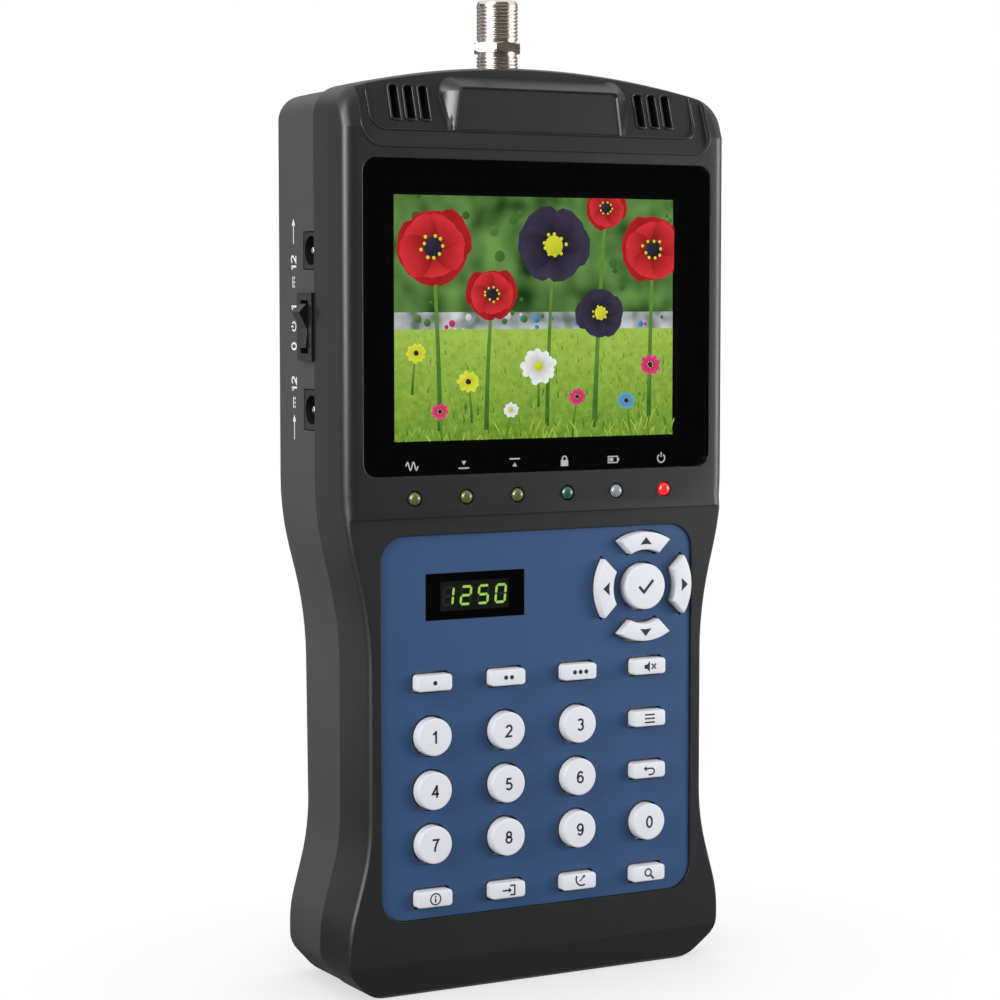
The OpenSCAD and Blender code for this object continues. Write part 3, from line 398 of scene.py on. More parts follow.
# %% Mix the plastics
shell_front = moulded("shell_charcoal", (0.0125, 0.0123, 0.0138), 0.38, 2600, 0.018, edge_mm=0.35)
# The rear shell is the same charcoal plastic as the front, painted lighter: painted light that stands in
# for the brighter light on its sides.
shell_rear_painted_lighter = moulded("shell_charcoal_rear_painted_lighter", (0.044, 0.042, 0.042), 0.46, 2400, 0.022, edge_mm=0.35)
panel_blue = moulded(
    "panel_blue", (0.0222, 0.0605, 0.143), 0.46, 3200, 0.006, edge_mm=0.08, drift=0.06, gloss=0.35
)
key_white = moulded(
    "key_white", (0.585, 0.59, 0.63), 0.40, 2000, 0.008, edge_mm=0.1, drift=0.02, gloss=0.35
)
switch_black = moulded("switch_black", (0.008, 0.008, 0.009), 0.34, 3000, 0.008, edge_mm=0.15)
rocker_black = moulded("rocker_black", (0.006, 0.006, 0.007), 0.28, 3000, 0.005, edge_mm=0.25)
jack_black = moulded("jack_black", (0.009, 0.009, 0.010), 0.36, 2800, 0.008, edge_mm=0.12)
mat_grey = moulded("mat_silicone", (0.42, 0.43, 0.46), 0.6, 1500, 0.01)
board_green = moulded("board_mask", (0.015, 0.10, 0.035), 0.35, 500, 0.02, drift=0.3)
speaker_black = moulded("speaker_frame", (0.01, 0.01, 0.011), 0.7, 900, 0.05)
cell_blue = moulded("cell_wrap", (0.03, 0.09, 0.24), 0.3, 300, 0.02)
module_black = moulded("module_black", (0.003, 0.003, 0.004), 0.3, 2500, 0.002, gloss=0.1)
insulator = moulded("insulator_white", (0.80, 0.79, 0.74), 0.4, 2600, 0.01)
print("finishes so far:", len(bpy.data.materials))

# %% [markdown]
# ## Metal
# The socket and the contacts are brass with bright nickel over it, the screws are zinc
# plated and the tuner can is tinned. Plating mirrors its surroundings, so what shows most
# is how even it is: fine turning lines and a slow change of roughness do that work.

# %% The plated metal recipe
TARNISH = 0.86
PLATE_CLOUD = 260
PLATE_MARKS = 400
MARK_AMOUNT = 0.1
LINE_STRENGTH = 0.5


def plated(name, colour, roughness, line_scale, line_mm):
    """A metal finish: linear colour, roughness, and turning lines per metre with their depth."""
    dark = tuple(c * TARNISH for c in colour)
    paint, shader, _ = surface(
        name, (dark, colour), dict(Grain_Scale=line_scale, Cloud_Scale=PLATE_CLOUD),
        dict(Roughness=roughness, Amount=MARK_AMOUNT, Mark_Scale=PLATE_MARKS),
        dict(Distance=line_mm * MM, Strength=LINE_STRENGTH),
    )
    set_inputs(shader, Metallic=1)
    return paint


nickel = plated("nickel", (0.86, 0.79, 0.71), 0.2, 4000, 0.003)
zinc = plated("zinc", (0.48, 0.49, 0.52), 0.34, 3000, 0.01)
tin = plated("tin", (0.58, 0.59, 0.60), 0.36, 900, 0.02)
print("metals:", nickel.name, zinc.name, tin.name)

# %% [markdown]
# ## Lamps of tinted epoxy
# A signal lamp is a clear tinted dome with a chip in it. It passes light, but from a pace
# away the tint and the bright spot on the dome are what one sees. A coat over a tinted
# body gives both, and the lit lamp also glows.

# %% Lamp finishes
SCATTER = 0.6 * MM


def tinted(name, colour, glow_colour=None, glow_strength=0.0):
    paint = moulded(name, colour, 0.16, 1200, 0.001, edge_mm=0.02, drift=0.2, marks=0.06)
    shader = paint.node_tree.nodes["Principled BSDF"]
    set_inputs(shader, Coat_Weight=0.8, Coat_Roughness=0.04)
    set_inputs(shader, Subsurface_Weight=0.15, Subsurface_Radius=(SCATTER, SCATTER, SCATTER))
    if glow_colour:
        set_inputs(shader, Emission_Color=glow_colour + (1,), Emission_Strength=glow_strength)
    return paint


lamp_olive = tinted("lamp_olive", (0.085, 0.09, 0.022))
lamp_green = tinted("lamp_green", (0.012, 0.075, 0.055))
lamp_clear = tinted("lamp_clear", (0.22, 0.23, 0.24))
lamp_red = tinted("lamp_red", (0.70, 0.008, 0.012), (1.0, 0.02, 0.03), 0.55)
print("lamps: 4 tints")

# %% [markdown]
# ## Dress the CAD solids
# CAD meshes arrive as flat triangles. Welding them and splitting only the sharp edges lets
# the round parts shade smoothly while the creases stay crisp. Keys and shells have flat faces
# up to a rounded rim, so they are split there too. Both steps are modifiers and move no solid.

# %% Assign finishes and smooth the shading
CREASE = math.radians(34)
KEY_CREASE = math.radians(25)
SHELL_CREASE = math.radians(12.5)
WELD = 0.001 * MM
FINISH = {
    "front_housing": shell_front, "rear_housing": shell_rear_painted_lighter, "keypad_panel": panel_blue,
    "lcd_module": module_black, "digit_display": module_black, "keypad_mat": mat_grey,
    "key_board": board_green, "main_board": board_green, "board_link": jack_black,
    "tuner_can": tin, "coax_insulator": insulator, "voltage_lamps": lamp_olive,
    "lock_lamp": lamp_green, "charge_lamp": lamp_clear, "power_lamp": lamp_red,
    "outlet_jack": jack_black, "inlet_jack": jack_black, "contact_pins": nickel,
    "switch_body": switch_black, "switch_rocker": rocker_black, "battery_pack": cell_blue,
    "speaker_left": speaker_black, "speaker_right": speaker_black, "display_window": module_black,
    "digit_window": module_black, "coax_barrel": nickel, "housing_screws": zinc,
}
keys = sorted(name for name in nodes if name.startswith("key_") and name != "key_board")
for name in keys:
    FINISH[name] = key_white


def crease(piece, angle):
    piece.modifiers.new("creases", "EDGE_SPLIT").split_angle = angle


def smooth(part, angle):
    mesh = part.data
    if mesh.has_custom_normals:
        with bpy.context.temp_override(object=part, active_object=part, selected_objects=[part]):
            bpy.ops.mesh.customdata_custom_splitnormals_clear()
    mesh.polygons.foreach_set("use_smooth", [True] * len(mesh.polygons))
    part.modifiers.new("weld", "WELD").merge_threshold = WELD
    crease(part, angle)


for name, part in nodes.items():
    part.data.materials.clear()
    part.data.materials.append(FINISH[name])
    if name.endswith("_housing"):
        smooth(part, SHELL_CREASE)
    else:
        smooth(part, KEY_CREASE if name in keys else CREASE)
print("dressed", len(nodes), "solids,", len(keys), "of them keys")

# %% [markdown]
# ## Flat shapes
# Legends, segments and the picture are all flat outlines. A small kit makes them: a disc,
# a polygon, and a ribbon that follows a line with mitred corners. Each shape is a list of
# points with faces, so shapes join into one mesh and get a real, very thin body.

# %% A kit of flat shapes
MITRE_LIMIT = 0.35


def oval(x, z, wide, tall, start=0, end=360, steps=28):
    """Points on an oval, with angles in degrees from the right, anticlockwise."""
    angles = [math.radians(start + (end - start) * i / steps) for i in range(steps + 1)]
    return [(x + wide * math.cos(a), z + tall * math.sin(a)) for a in angles]


def arc(x, z, radius, start, end, steps=16):
    return oval(x, z, radius, radius, start, end, steps)


def polygon(points):
    return list(points), [tuple(range(len(points)))]


def disc(x, z, radius, steps=24):
    return polygon(arc(x, z, radius, 0, 360, steps)[:-1])


def ribbon(points, width, closed=False):
    """A band along a line. Corners are mitred, so the band keeps its width."""
    count = len(points)
    line = [Vector(p) for p in points]
    sides = []
    for i, here in enumerate(line):
        ways = []
        if i or closed:
            ways.append((here - line[i - 1]).normalized())
        if i < count - 1 or closed:
            ways.append((line[(i + 1) % count] - here).normalized())
        across = [Vector((-w.y, w.x)) for w in ways]
        mean = sum(across, Vector((0, 0))).normalized()
        reach = width / 2 / max(MITRE_LIMIT, mean.dot(across[0]))
        sides += [here + mean * reach, here - mean * reach]
    quads = []
    for i in range(count if closed else count - 1):
        j = (i + 1) % count
        quads.append((2 * i, 2 * i + 1, 2 * j + 1, 2 * j))
    return [tuple(p) for p in sides], quads


def loop(x, z, wide, tall, width):
    return ribbon(oval(x, z, wide, tall)[:-1], width, closed=True)


def moved(shapes, shift):
    return [([(u + shift, v) for u, v in points], faces) for points, faces in shapes]


def turned_half(shapes):
    return [([(-u, -v) for u, v in points], faces) for points, faces in shapes]


def scaled(shapes, size):
    return [(([(u * size, v * size) for u, v in points], faces), 0) for points, faces in shapes]


print("shape kit: oval, arc, polygon, disc, ribbon, loop")

# %% Thin pieces from flat shapes


def front_place(x, z, y):
    """Carries a shape's point to the front of the meter, and a height towards the viewer."""
    return lambda u, v, h: Vector((x + u, y - h, z + v))


def left_place(x, y, z):
    """The same for the left side. The shape is turned, so that it reads upwards."""
    return lambda u, v, h: Vector((x - h, y + v, z + u))


def add_piece(name, mesh, paints, body):
    for paint in paints:
        mesh.materials.append(paint)
    piece = bpy.data.objects.new(name, mesh)
    bpy.context.scene.collection.objects.link(piece)
    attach(piece, body)
    return piece


def finished(build, name):
    """A mesh from a bmesh, with its faces turned outwards."""
    bmesh.ops.recalc_face_normals(build, faces=build.faces)
    mesh = bpy.data.meshes.new(name)
    build.to_mesh(mesh)
    build.free()
    return mesh


def thicken(build, back):
    """Gives flat faces a body: a copy of them is moved back and joined to them."""
    bmesh.ops.recalc_face_normals(build, faces=build.faces)
    copies = bmesh.ops.extrude_face_region(build, geom=build.faces[:], use_keep_orig=True)
    corners = [item for item in copies["geom"] if isinstance(item, bmesh.types.BMVert)]
    bmesh.ops.translate(build, verts=corners, vec=back)


def thin_solid(name, shapes, place, thickness, paints, body):
    """A thin piece from flat shapes, each given as (points and faces, number of its paint)."""
    build = bmesh.new()
    for (points, faces), paint in shapes:
        corners = [build.verts.new(place(u, v, thickness)) for u, v in points]
        for face in faces:
            build.faces.new([corners[i] for i in face]).material_index = paint
    thicken(build, place(0, 0, 0) - place(0, 0, thickness))
    return add_piece(name, finished(build, name), paints, body)


print("thin pieces ready")

# %% [markdown]
# ## Rims and lips of the head
# Each vent slot has a fine raised rim, and the pocket round the vents and the brow below it
# have lips. They catch the light along their whole length. A bead with a round section makes
# them: we walk along the edge, drop each point onto the leaning shell with a ray and put a
# small ring there.

# %% A bead laid on the shell
RAY_START = -0.1
BEAD_TURNS = [math.radians(45 * k) for k in range(8)]
shell = nodes["front_housing"].data
shell_tree = BVHTree.FromPolygons([v.co for v in shell.vertices], [p.vertices for p in shell.polygons])


def on_shell(x, z):
    """The spot on the front of the shell, and the direction out of it."""
    spot, out, _, _ = shell_tree.ray_cast(Vector((x, RAY_START, z)), Vector((0, 1, 0)))
    return spot, out if out.y < 0 else -out


def skin(build, rings, closed=False, rounded=True):
    """Faces from each ring of points to the next. An open row gets a cap at each end."""
    for here, after in zip(rings, rings[1:] + rings[:1] if closed else rings[1:]):
        for k in range(len(here)):
            build.faces.new((here[k - 1], here[k], after[k], after[k - 1])).smooth = rounded
    if not closed:
        build.faces.new(rings[0])
        build.faces.new(rings[-1])


def bead(build, path, radius, closed=False):
    """A round bead along a path of (x, z) points, laid on the shell."""
    spots = [on_shell(x, z) for x, z in path]
    count = len(spots)
    rings = []
    for i, (spot, out) in enumerate(spots):
        before = spots[i - 1 if closed or i else 0][0]
        after = spots[(i + 1) % count if closed or i + 1 < count else i][0]
        across = (after - before).cross(out).normalized()
        ways = [math.cos(t) * out + math.sin(t) * across for t in BEAD_TURNS]
        rings.append([build.verts.new(spot + radius * way) for way in ways])
    skin(build, rings, closed)


print("shell faces under the rays:", len(shell.polygons))

# %% Rims of the vents
VENT_X = 30.5 * MM
VENT_PITCH = 3.55 * MM
VENT_W = 2.1 * MM
VENT_H = 7.3 * MM
VENT_Z = 192.65 * MM
VENT_R = 0.7 * MM
RIM_R = 0.3 * MM


def rounded_rectangle(width, height, radius, steps=10):
    points = []
    for sx, sz, start in ((1, -1, -90), (1, 1, 0), (-1, 1, 90), (-1, -1, 180)):
        x, z = sx * (width / 2 - radius), sz * (height / 2 - radius)
        points += arc(x, z, radius, start, start + 90, steps)
    return points


build = bmesh.new()
for side in (-1, 1):
    for shift in (-1, 0, 1):
        x = side * VENT_X + shift * VENT_PITCH
        slot_edge = rounded_rectangle(VENT_W + RIM_R, VENT_H + RIM_R, VENT_R, 4)
        bead(build, [(x + u, VENT_Z + v) for u, v in slot_edge], RIM_R, closed=True)
rim_finish = moulded("shell_charcoal_rim", (0.0125, 0.0123, 0.0138), 0.24, 2600, 0.004, edge_mm=0.0)
add_piece("vent_rims", finished(build, "vent_rims"), [rim_finish], "meter")
print("vent rims: 6")

# %% Lay the lips
LIP_R = 0.22 * MM
LIP_STEPS = 8
FOOT_STEPS = 16
LIPS = [  # half width, foot, corner and upper end in mm: the pocket, then the brow
    (40.5, 186.9, 3.0, 195.2),
    (43.4, 183.3, 4.5, 188.4),
]


def trough(half, foot, radius, end):
    """An edge just outside a hollow: down one side, along its foot and up the other."""
    corner = arc(half - radius, foot + radius, radius + LIP_R, -90, 0, LIP_STEPS)
    x, z = corner[-1]
    right = corner + [(x, z + (end - z) * i / LIP_STEPS) for i in range(1, LIP_STEPS + 1)]
    x, z = corner[0]
    run = [(x * i / FOOT_STEPS, z) for i in range(1 - FOOT_STEPS, FOOT_STEPS)]
    return [(-u, v) for u, v in reversed(right)] + run + right


build = bmesh.new()
for lip in LIPS:
    bead(build, trough(*(size * MM for size in lip)), LIP_R)
add_piece("brow_lips", finished(build, "brow_lips"), [rim_finish], "meter")
print("lips:", len(LIPS))

# %% [markdown]
# ## The raised pad
# A plain pad stands upright out of its leaning pocket. A low frame runs up its left side,
# along the top and down its right side, and outside it a slope leads down to the pocket, a
# hollow one on the left. We lay strips of points across that path. Where a slope dips under
# the shell, its points follow the shell, so the pad grows out of it. One flat face closes
# the middle, and the upright sides have the smoother finish of the rims.

# %% Shape of the pad
PAD_FOOT = Vector((21.0, 186.95)) * MM
PAD_HEAD = Vector((19.9, 195.0)) * MM
PAD_R = 1.2 * MM
FRAME_RISE = 0.4 * MM
FRAME_BASE = -0.45 * MM
FRAME_IN = -0.15 * MM
FRAME_OUT = 0.05 * MM
SLOPE_REACH = 3.4 * MM
SLOPE_STEPS = 24
SIDE_STEPS = 20
CORNER_STEP = 10
SINK = 0.06 * MM
HOLLOW = 0.38
SLOPE_LEFT, SLOPE_TOP, SLOPE_RIGHT = (math.radians(a) for a in (59, 63, 36))


def shell_depth(x, z):
    return on_shell(x, z)[0].y


face_y = shell_depth(0, PAD_FOOT.y + FRAME_RISE) - SINK


def frame_path():
    """Points up the left side, over the top and down the right, with the way out of each."""
    rows = []
    for i in range(SIDE_STEPS):
        x, z = PAD_FOOT.lerp(PAD_HEAD, i / SIDE_STEPS)
        rows.append((-x, z, 180))
    x, z = PAD_HEAD
    for turn in range(180, 89, -CORNER_STEP):
        across, up = arc(PAD_R - x, z, PAD_R, turn, turn, 1)[0]
        rows.append((across, up, turn))
    return rows + [(-x, z, 180 - turn) for x, z, turn in reversed(rows)]


def pad_strip(x, z, turn):
    """Points from the face over the frame and down the slope, or just under the shell."""
    side_x, side_z = math.cos(math.radians(turn)), math.sin(math.radians(turn))
    lean = abs(turn - 90) / 90
    slope = SLOPE_TOP + ((SLOPE_LEFT if turn > 90 else SLOPE_RIGHT) - SLOPE_TOP) * lean
    hollow = HOLLOW * lean if turn > 90 else 0
    points = [(x + FRAME_BASE * side_x, face_y, z + FRAME_BASE * side_z)]
    offsets = [FRAME_OUT + SLOPE_REACH * i / SLOPE_STEPS for i in range(SLOPE_STEPS + 1)]
    for out in [FRAME_IN] + offsets:
        place_x, place_z = x + out * side_x, z + out * side_z
        run = max(0, out - FRAME_OUT)
        top = face_y - FRAME_RISE + run * math.tan(slope) * (1 - hollow * run / SLOPE_REACH)
        points.append((place_x, min(top, shell_depth(place_x, place_z) + SINK), place_z))
    return points


print("pad face at y =", round(face_y / MM, 2), "mm")

# %% Build the pad
PAD_T = 0.3 * MM
UPRIGHT = 85
rows = frame_path()
build = bmesh.new()
strips = [[build.verts.new(point) for point in pad_strip(*row)] for row in rows]
for here, after, (_, _, turn) in zip(strips, strips[1:], rows):
    for k in range(len(here) - 1):
        face = build.faces.new((here[k], here[k + 1], after[k + 1], after[k]))
        face.smooth = True
        face.material_index = 1 if abs(turn - 90) > UPRIGHT else 0
build.faces.new([strip[0] for strip in strips])
thicken(build, (0, PAD_T, 0))
pad_finishes = [shell_front, rim_finish]
raised_pad = add_piece("raised_pad", finished(build, "raised_pad"), pad_finishes, "meter")
crease(raised_pad, SHELL_CREASE)
print("pad strips:", len(strips))

# %% [markdown]
# ## The screen window
# The real window is clear acrylic with a black border printed on its back. A black sheet
# would be quicker, but a clear pane over a printed border gives the depth that one sees
# between the glossy face and the picture. Pane, border and picture are three layers.

# %% Cut the pane and print its border
low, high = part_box("display_window")
window_mid = (low + high) / 2
WINDOW_W = high.x - low.x
WINDOW_H = high.z - low.z
WINDOW_R = 3 * MM
BORDER_T = 0.05 * MM
LABEL_T = 0.015 * MM
lcd_low, lcd_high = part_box("lcd_module")
lcd_mid = (lcd_low + lcd_high) / 2
PICTURE_W = 70.08 * MM
PICTURE_H = 52.56 * MM
VIEW_MARGIN = 0.6 * MM


def frame_shape(outer, inner):
    """A flat frame between two outlines with equal numbers of points."""
    count = len(outer)
    faces = [(i, (i + 1) % count, count + (i + 1) % count, count + i) for i in range(count)]
    return list(outer) + list(inner), faces


pane, tree, shader = new_paint("pane_acrylic")
set_inputs(shader, Base_Color=WHITE + (1,), Transmission_Weight=1, IOR=1.45)
handled = place_group(tree, handling, Roughness=0.015, Amount=0.02)
wire(tree, (handled, "Roughness", shader, "Roughness"))

border_ink = moulded("border_ink", (0.0016, 0.0016, 0.002), 0.7, 2500, 0.0, edge_mm=0.0, gloss=0.0)
outline = rounded_rectangle(WINDOW_W, WINDOW_H, WINDOW_R)
pane_depth = high.y - low.y - BORDER_T - 2 * LABEL_T
window_pane = thin_solid(
    "window_pane", [(polygon(outline), 0)],
    front_place(window_mid.x, window_mid.z, low.y + pane_depth), pane_depth,
    [pane], "meter",
)
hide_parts("display_window")
opening = rounded_rectangle(PICTURE_W + 2 * VIEW_MARGIN, PICTURE_H + 2 * VIEW_MARGIN, VIEW_MARGIN)
opening = [(u + lcd_mid.x - window_mid.x, v + lcd_mid.z - window_mid.z) for u, v in opening]
thin_solid(
    "window_border", [(frame_shape(outline, opening), 0)],
    front_place(window_mid.x, window_mid.z, high.y), BORDER_T,
    [border_ink], "meter",
)
print("pane", round(WINDOW_W / MM, 1), "x", round(WINDOW_H / MM, 1), "mm")

# %% [markdown]
# ## Glowing tones
# A screen makes its own light, so its colours are emission. Each tone runs between a dark
# and a light colour, led by two things: a noise, and a fade that we store per corner as a
# UV value. The fade shades a petal from base to tip, as a painter would.

# %% A glowing finish
tone_mix, given, result = shader_group(
    "screen_tone", [("Scale", 900.0), ("Detail", 6.0), ("Contrast", 1.0), ("Fade", 1.0)], ["Amount"]
)
spots = add_node(tone_mix, "TexCoord")
place = spots.outputs["Object"]
cloud = noise_in(tone_mix, place, given.outputs["Scale"], given.outputs["Detail"], 0.65)
cloud = math_in(tone_mix, "SUBTRACT", cloud, 0.5)
cloud = math_in(tone_mix, "MULTIPLY", cloud, given.outputs["Contrast"])
split = add_node(tone_mix, "SeparateXYZ")
tone_mix.links.new(spots.outputs["UV"], split.inputs[0])
fade = math_in(tone_mix, "SUBTRACT", split.outputs["X"], 0.5)
fade = math_in(tone_mix, "MULTIPLY", fade, given.outputs["Fade"])
total = math_in(tone_mix, "ADD", math_in(tone_mix, "ADD", cloud, fade), 0.5)
tone_mix.links.new(total, result.inputs["Amount"])


def glowing(name, dark, light, scale, contrast=1.6, fade=0.0, detail=6.0):
    """A tone that glows, between two linear colours, with the values of its noise and fade."""
    paint, tree, shader = new_paint(name)
    set_inputs(shader, Base_Color=(0, 0, 0, 1), Roughness=0.6, Specular_IOR_Level=0, Emission_Strength=1)
    toned = place_group(tree, tone_mix, Scale=scale, Detail=detail, Contrast=contrast, Fade=fade)
    tone = mix_colours(tree, dark, light)
    tone.clamp_factor = True
    wire(tree, (toned, "Amount", tone, "Factor"), (tone, "Result", shader, "Emission Color"))
    return paint


print("glowing finish ready")

# %% Tones for the screen
PAPERS = {
    "hedge": glowing("tone_hedge", (0.008, 0.040, 0.007), (0.15, 0.32, 0.075), 130, 2.3, 0.25, 1.2),
    "bokeh": glowing("tone_bokeh", (0.022, 0.090, 0.016), (0.13, 0.28, 0.065), 60, 0.5, 1.0, 1.0),
    "path": glowing("tone_path", (0.13, 0.17, 0.15), (0.66, 0.67, 0.70), 210, 2.6, 0.0, 1.4),
    "lawn": glowing("tone_lawn", (0.10, 0.24, 0.014), (0.36, 0.55, 0.085), 700, 1.3, 0.9),
    "blade": glowing("tone_blade", (0.075, 0.20, 0.010), (0.46, 0.66, 0.10), 300, 0.5, 0.9),
    "shade": glowing("tone_shade", (0.022, 0.085, 0.008), (0.10, 0.24, 0.022), 700, 1.2, 0.5),
    "stem": glowing("tone_stem", (0.018, 0.085, 0.010), (0.16, 0.36, 0.05), 300, 0.6, 0.6),
    "red": glowing("tone_red", (0.16, 0.004, 0.006), (0.72, 0.035, 0.040), 420, 0.5, 0.95),
    "deep_red": glowing("tone_deep_red", (0.09, 0.002, 0.004), (0.46, 0.016, 0.022), 420, 0.5, 0.9),
    "dark": glowing("tone_dark", (0.003, 0.003, 0.005), (0.050, 0.042, 0.075), 380, 0.6, 0.8),
    "white": glowing("tone_white", (0.40, 0.42, 0.46), (0.93, 0.93, 0.92), 200, 0.3, 0.9),
    "yellow": glowing("tone_yellow", (0.42, 0.40, 0.01), (0.80, 0.86, 0.06), 500, 0.8, 0.6),
    "pink": glowing("tone_pink", (0.30, 0.006, 0.055), (0.80, 0.060, 0.22), 300, 0.5, 0.9),
    "blue": glowing("tone_blue", (0.02, 0.10, 0.26), (0.12, 0.42, 0.72), 300, 0.5, 0.9),
}
print("screen tones:", len(PAPERS))

# %% [markdown]
# ## Shapes for a garden
# The screen shows a made-up garden: hedge, path, lawn, and red, dark and white blooms. A
# leaf is a ribbon whose width changes, and petals, blades and stems are all leaves.
# Positions run from 0 to 1 across and up, and a seeded random series keeps them the same.

# %% Paper shapes
PAST_EDGE = 0.1
DIAGONAL = 1.42
names = list(PAPERS)
collage = []


def at(u, v):
    return (u - 0.5) * PICTURE_W, (v - 0.5) * PICTURE_H


def lay(shape, paper, tones):
    points, faces = shape
    collage.append((points, faces, names.index(paper), tones))


def block(v0, v1, paper):
    u0, u1 = -PAST_EDGE, 1 + PAST_EDGE
    lay(polygon([at(u0, v0), at(u1, v0), at(u1, v1), at(u0, v1)]), paper, [0, 0, 1, 1])


def ball(x, z, radius, paper, base, swing, steps=20):
    """A disc that is lighter at its upper left, like a ball in soft light."""
    points = arc(x, z, radius, 0, 360, steps)[:-1]
    tones = [base + swing * ((q - z) - (p - x)) / radius / DIAGONAL for p, q in points]
    lay(polygon(points), paper, tones)


def leaf(path, widths, paper):
    """A band along a path, with a width at each point and a tone that rises to its tip."""
    line = [Vector(p) for p in path]
    last = len(line) - 1
    points = []
    for i, here in enumerate(line):
        way = (line[min(i + 1, last)] - line[max(i - 1, 0)]).normalized()
        side = Vector((-way.y, way.x)) * widths[i] / 2
        points += [tuple(here + side), tuple(here - side)]
    faces = [(2 * i, 2 * i + 1, 2 * i + 3, 2 * i + 2) for i in range(last)]
    lay((points, faces), paper, [i // 2 / last for i in range(2 * last + 2)])


print("papers:", names)

# %% Blooms, stalks and blades
SEED = 11
PETAL_STEPS = 8
PETAL_NECK = 0.16
PETAL_SWELL = 0.8
PETAL_TIP = 0.55
RUFFLE = 0.06
SQUASH = 0.86
HEART = 0.24
STAMENS = 9
STALK_STEPS = 6
STALK_BEND = 1.6
BLADE_WIDTHS = (0.14, 0.13, 0.11, 0.07, 0.015)
dice = random.Random(SEED)


def petal(x, z, turn, size, wide, paper):
    way = Vector((math.cos(math.radians(turn)), math.sin(math.radians(turn)) * SQUASH))
    path, widths = [], []
    for i in range(PETAL_STEPS + 1):
        t = i / PETAL_STEPS
        path.append((x + way.x * size * t, z + way.y * size * t))
        swell = math.sin(math.pi * PETAL_SWELL * t) ** PETAL_SWELL
        widths.append(size * wide * (PETAL_NECK + swell * (1 - PETAL_NECK)))
    widths[-1] *= PETAL_TIP + dice.uniform(-RUFFLE, RUFFLE)
    leaf(path, widths, paper)


def bloom(u, v, size, petals, paper, back_paper, heart, wide):
    """Two rings of petals, a heart and a ring of small yellow dots."""
    x, z = at(u, v)
    start = dice.uniform(0, 360)
    for ring_paper, shift, reach in ((back_paper, 0.5, 1.0), (paper, 0.0, 0.86)):
        for i in range(petals):
            turn = start + 360 * (i + shift) / petals + dice.uniform(-7, 7)
            petal(x, z, turn, size * reach * dice.uniform(0.92, 1.06), wide, ring_paper)
    ball(x, z, size * HEART, heart, 0.45, 0.4)
    for i in range(STAMENS):
        turn = math.radians(360 / STAMENS * i + dice.uniform(-9, 9))
        reach = size * dice.uniform(HEART, 0.34)
        dot_x, dot_z = x + reach * math.cos(turn), z + reach * math.sin(turn) * SQUASH
        ball(dot_x, dot_z, size * 0.045, "yellow", 0.7, 0.3, 8)


def stalk(u, v, foot, lean, width):
    x0, z0 = at(u + lean, foot)
    x1, z1 = at(u, v)
    path, widths = [], []
    for i in range(STALK_STEPS + 1):
        t = i / STALK_STEPS
        path.append((x0 + (x1 - x0) * t ** STALK_BEND, z0 + (z1 - z0) * t))
        widths.append(width * (1.15 - 0.4 * t))
    leaf(path, widths, "stem")


def blade(u, v, tall, paper):
    x, z = at(u, v)
    bend = dice.uniform(-0.5, 0.5) * tall
    path = [(x + bend * (i / 4) ** 2, z + tall * i / 4) for i in range(5)]
    leaf(path, [tall * w for w in BLADE_WIDTHS], paper)


print("garden shapes ready")

# %% Compose the garden
block(0.4, 1.1, "hedge")
for _ in range(46):
    x, z = at(dice.uniform(-0.02, 1.02), dice.uniform(0.55, 1.0))
    ball(x, z, dice.uniform(0.3, 1.3) * MM, "bokeh", dice.uniform(0.05, 0.6), 0.12, 22)
block(0.43, 0.525, "path")
for _ in range(26):
    x, z = at(dice.uniform(0, 1), dice.uniform(0.44, 0.53))
    radius = dice.uniform(0.3, 0.9) * MM
    ball(x, z, radius, dice.choice(["white", "pink", "blue", "bokeh"]), 0.4, 0.3, 14)
block(-0.1, 0.455, "lawn")
BLADES = 420
LAWN_TOP = 0.44
for i in range(BLADES):
    v = LAWN_TOP - 0.50 * (i / BLADES) ** 1.1
    tall = (0.9 + 3.0 * (LAWN_TOP - v)) * MM * dice.uniform(0.7, 1.3)
    blade(dice.uniform(-0.03, 1.03), v, tall, dice.choice(["blade", "blade", "shade"]))
RED_BLOOMS = [(0.13, 0.79, 9.2), (0.335, 0.60, 6.2), (0.92, 0.79, 8.4), (0.745, 0.96, 5.4)]
for u, v, size in RED_BLOOMS:
    stalk(u, v, 0.04, dice.uniform(-0.05, 0.05), 1.0 * MM)
    bloom(u, v, size * MM, 5, "red", "deep_red", "dark", 1.15)
DARK_BLOOMS = [(0.555, 0.80, 9.4), (0.725, 0.52, 6.2)]
for u, v, size in DARK_BLOOMS:
    stalk(u, v, 0.05, dice.uniform(-0.05, 0.05), 0.9 * MM)
    bloom(u, v, size * MM, 6, "dark", "dark", "yellow", 0.95)
SMALL_BLOOMS = [
    (0.50, 0.30, 4.6, "white"), (0.91, 0.30, 2.7, "pink"), (0.07, 0.36, 2.5, "yellow"),
    (0.64, 0.17, 2.2, "pink"), (0.25, 0.24, 2.8, "yellow"), (0.82, 0.15, 2.3, "blue"),
    (0.40, 0.12, 1.9, "white"), (0.15, 0.12, 2.1, "pink"),
]
for u, v, size, paper in SMALL_BLOOMS:
    stalk(u, v, v - 0.17, dice.uniform(-0.02, 0.02), 0.55 * MM)
    bloom(u, v, size * MM, 9, paper, paper, "yellow" if paper == "white" else "dark", 0.42)
for i in range(90):
    blade(dice.uniform(-0.03, 1.03), dice.uniform(-0.10, 0.02), dice.uniform(2.2, 5.4) * MM, "blade")
print("picture shapes:", len(collage))

# %% [markdown]
# ## Trim the picture
# All shapes go into one mesh, each a thousandth of a millimetre in front of the one below.
# Whatever reaches past the edge of the picture is cut off with four straight cuts, which
# also carry the UV fade along to the new corners.

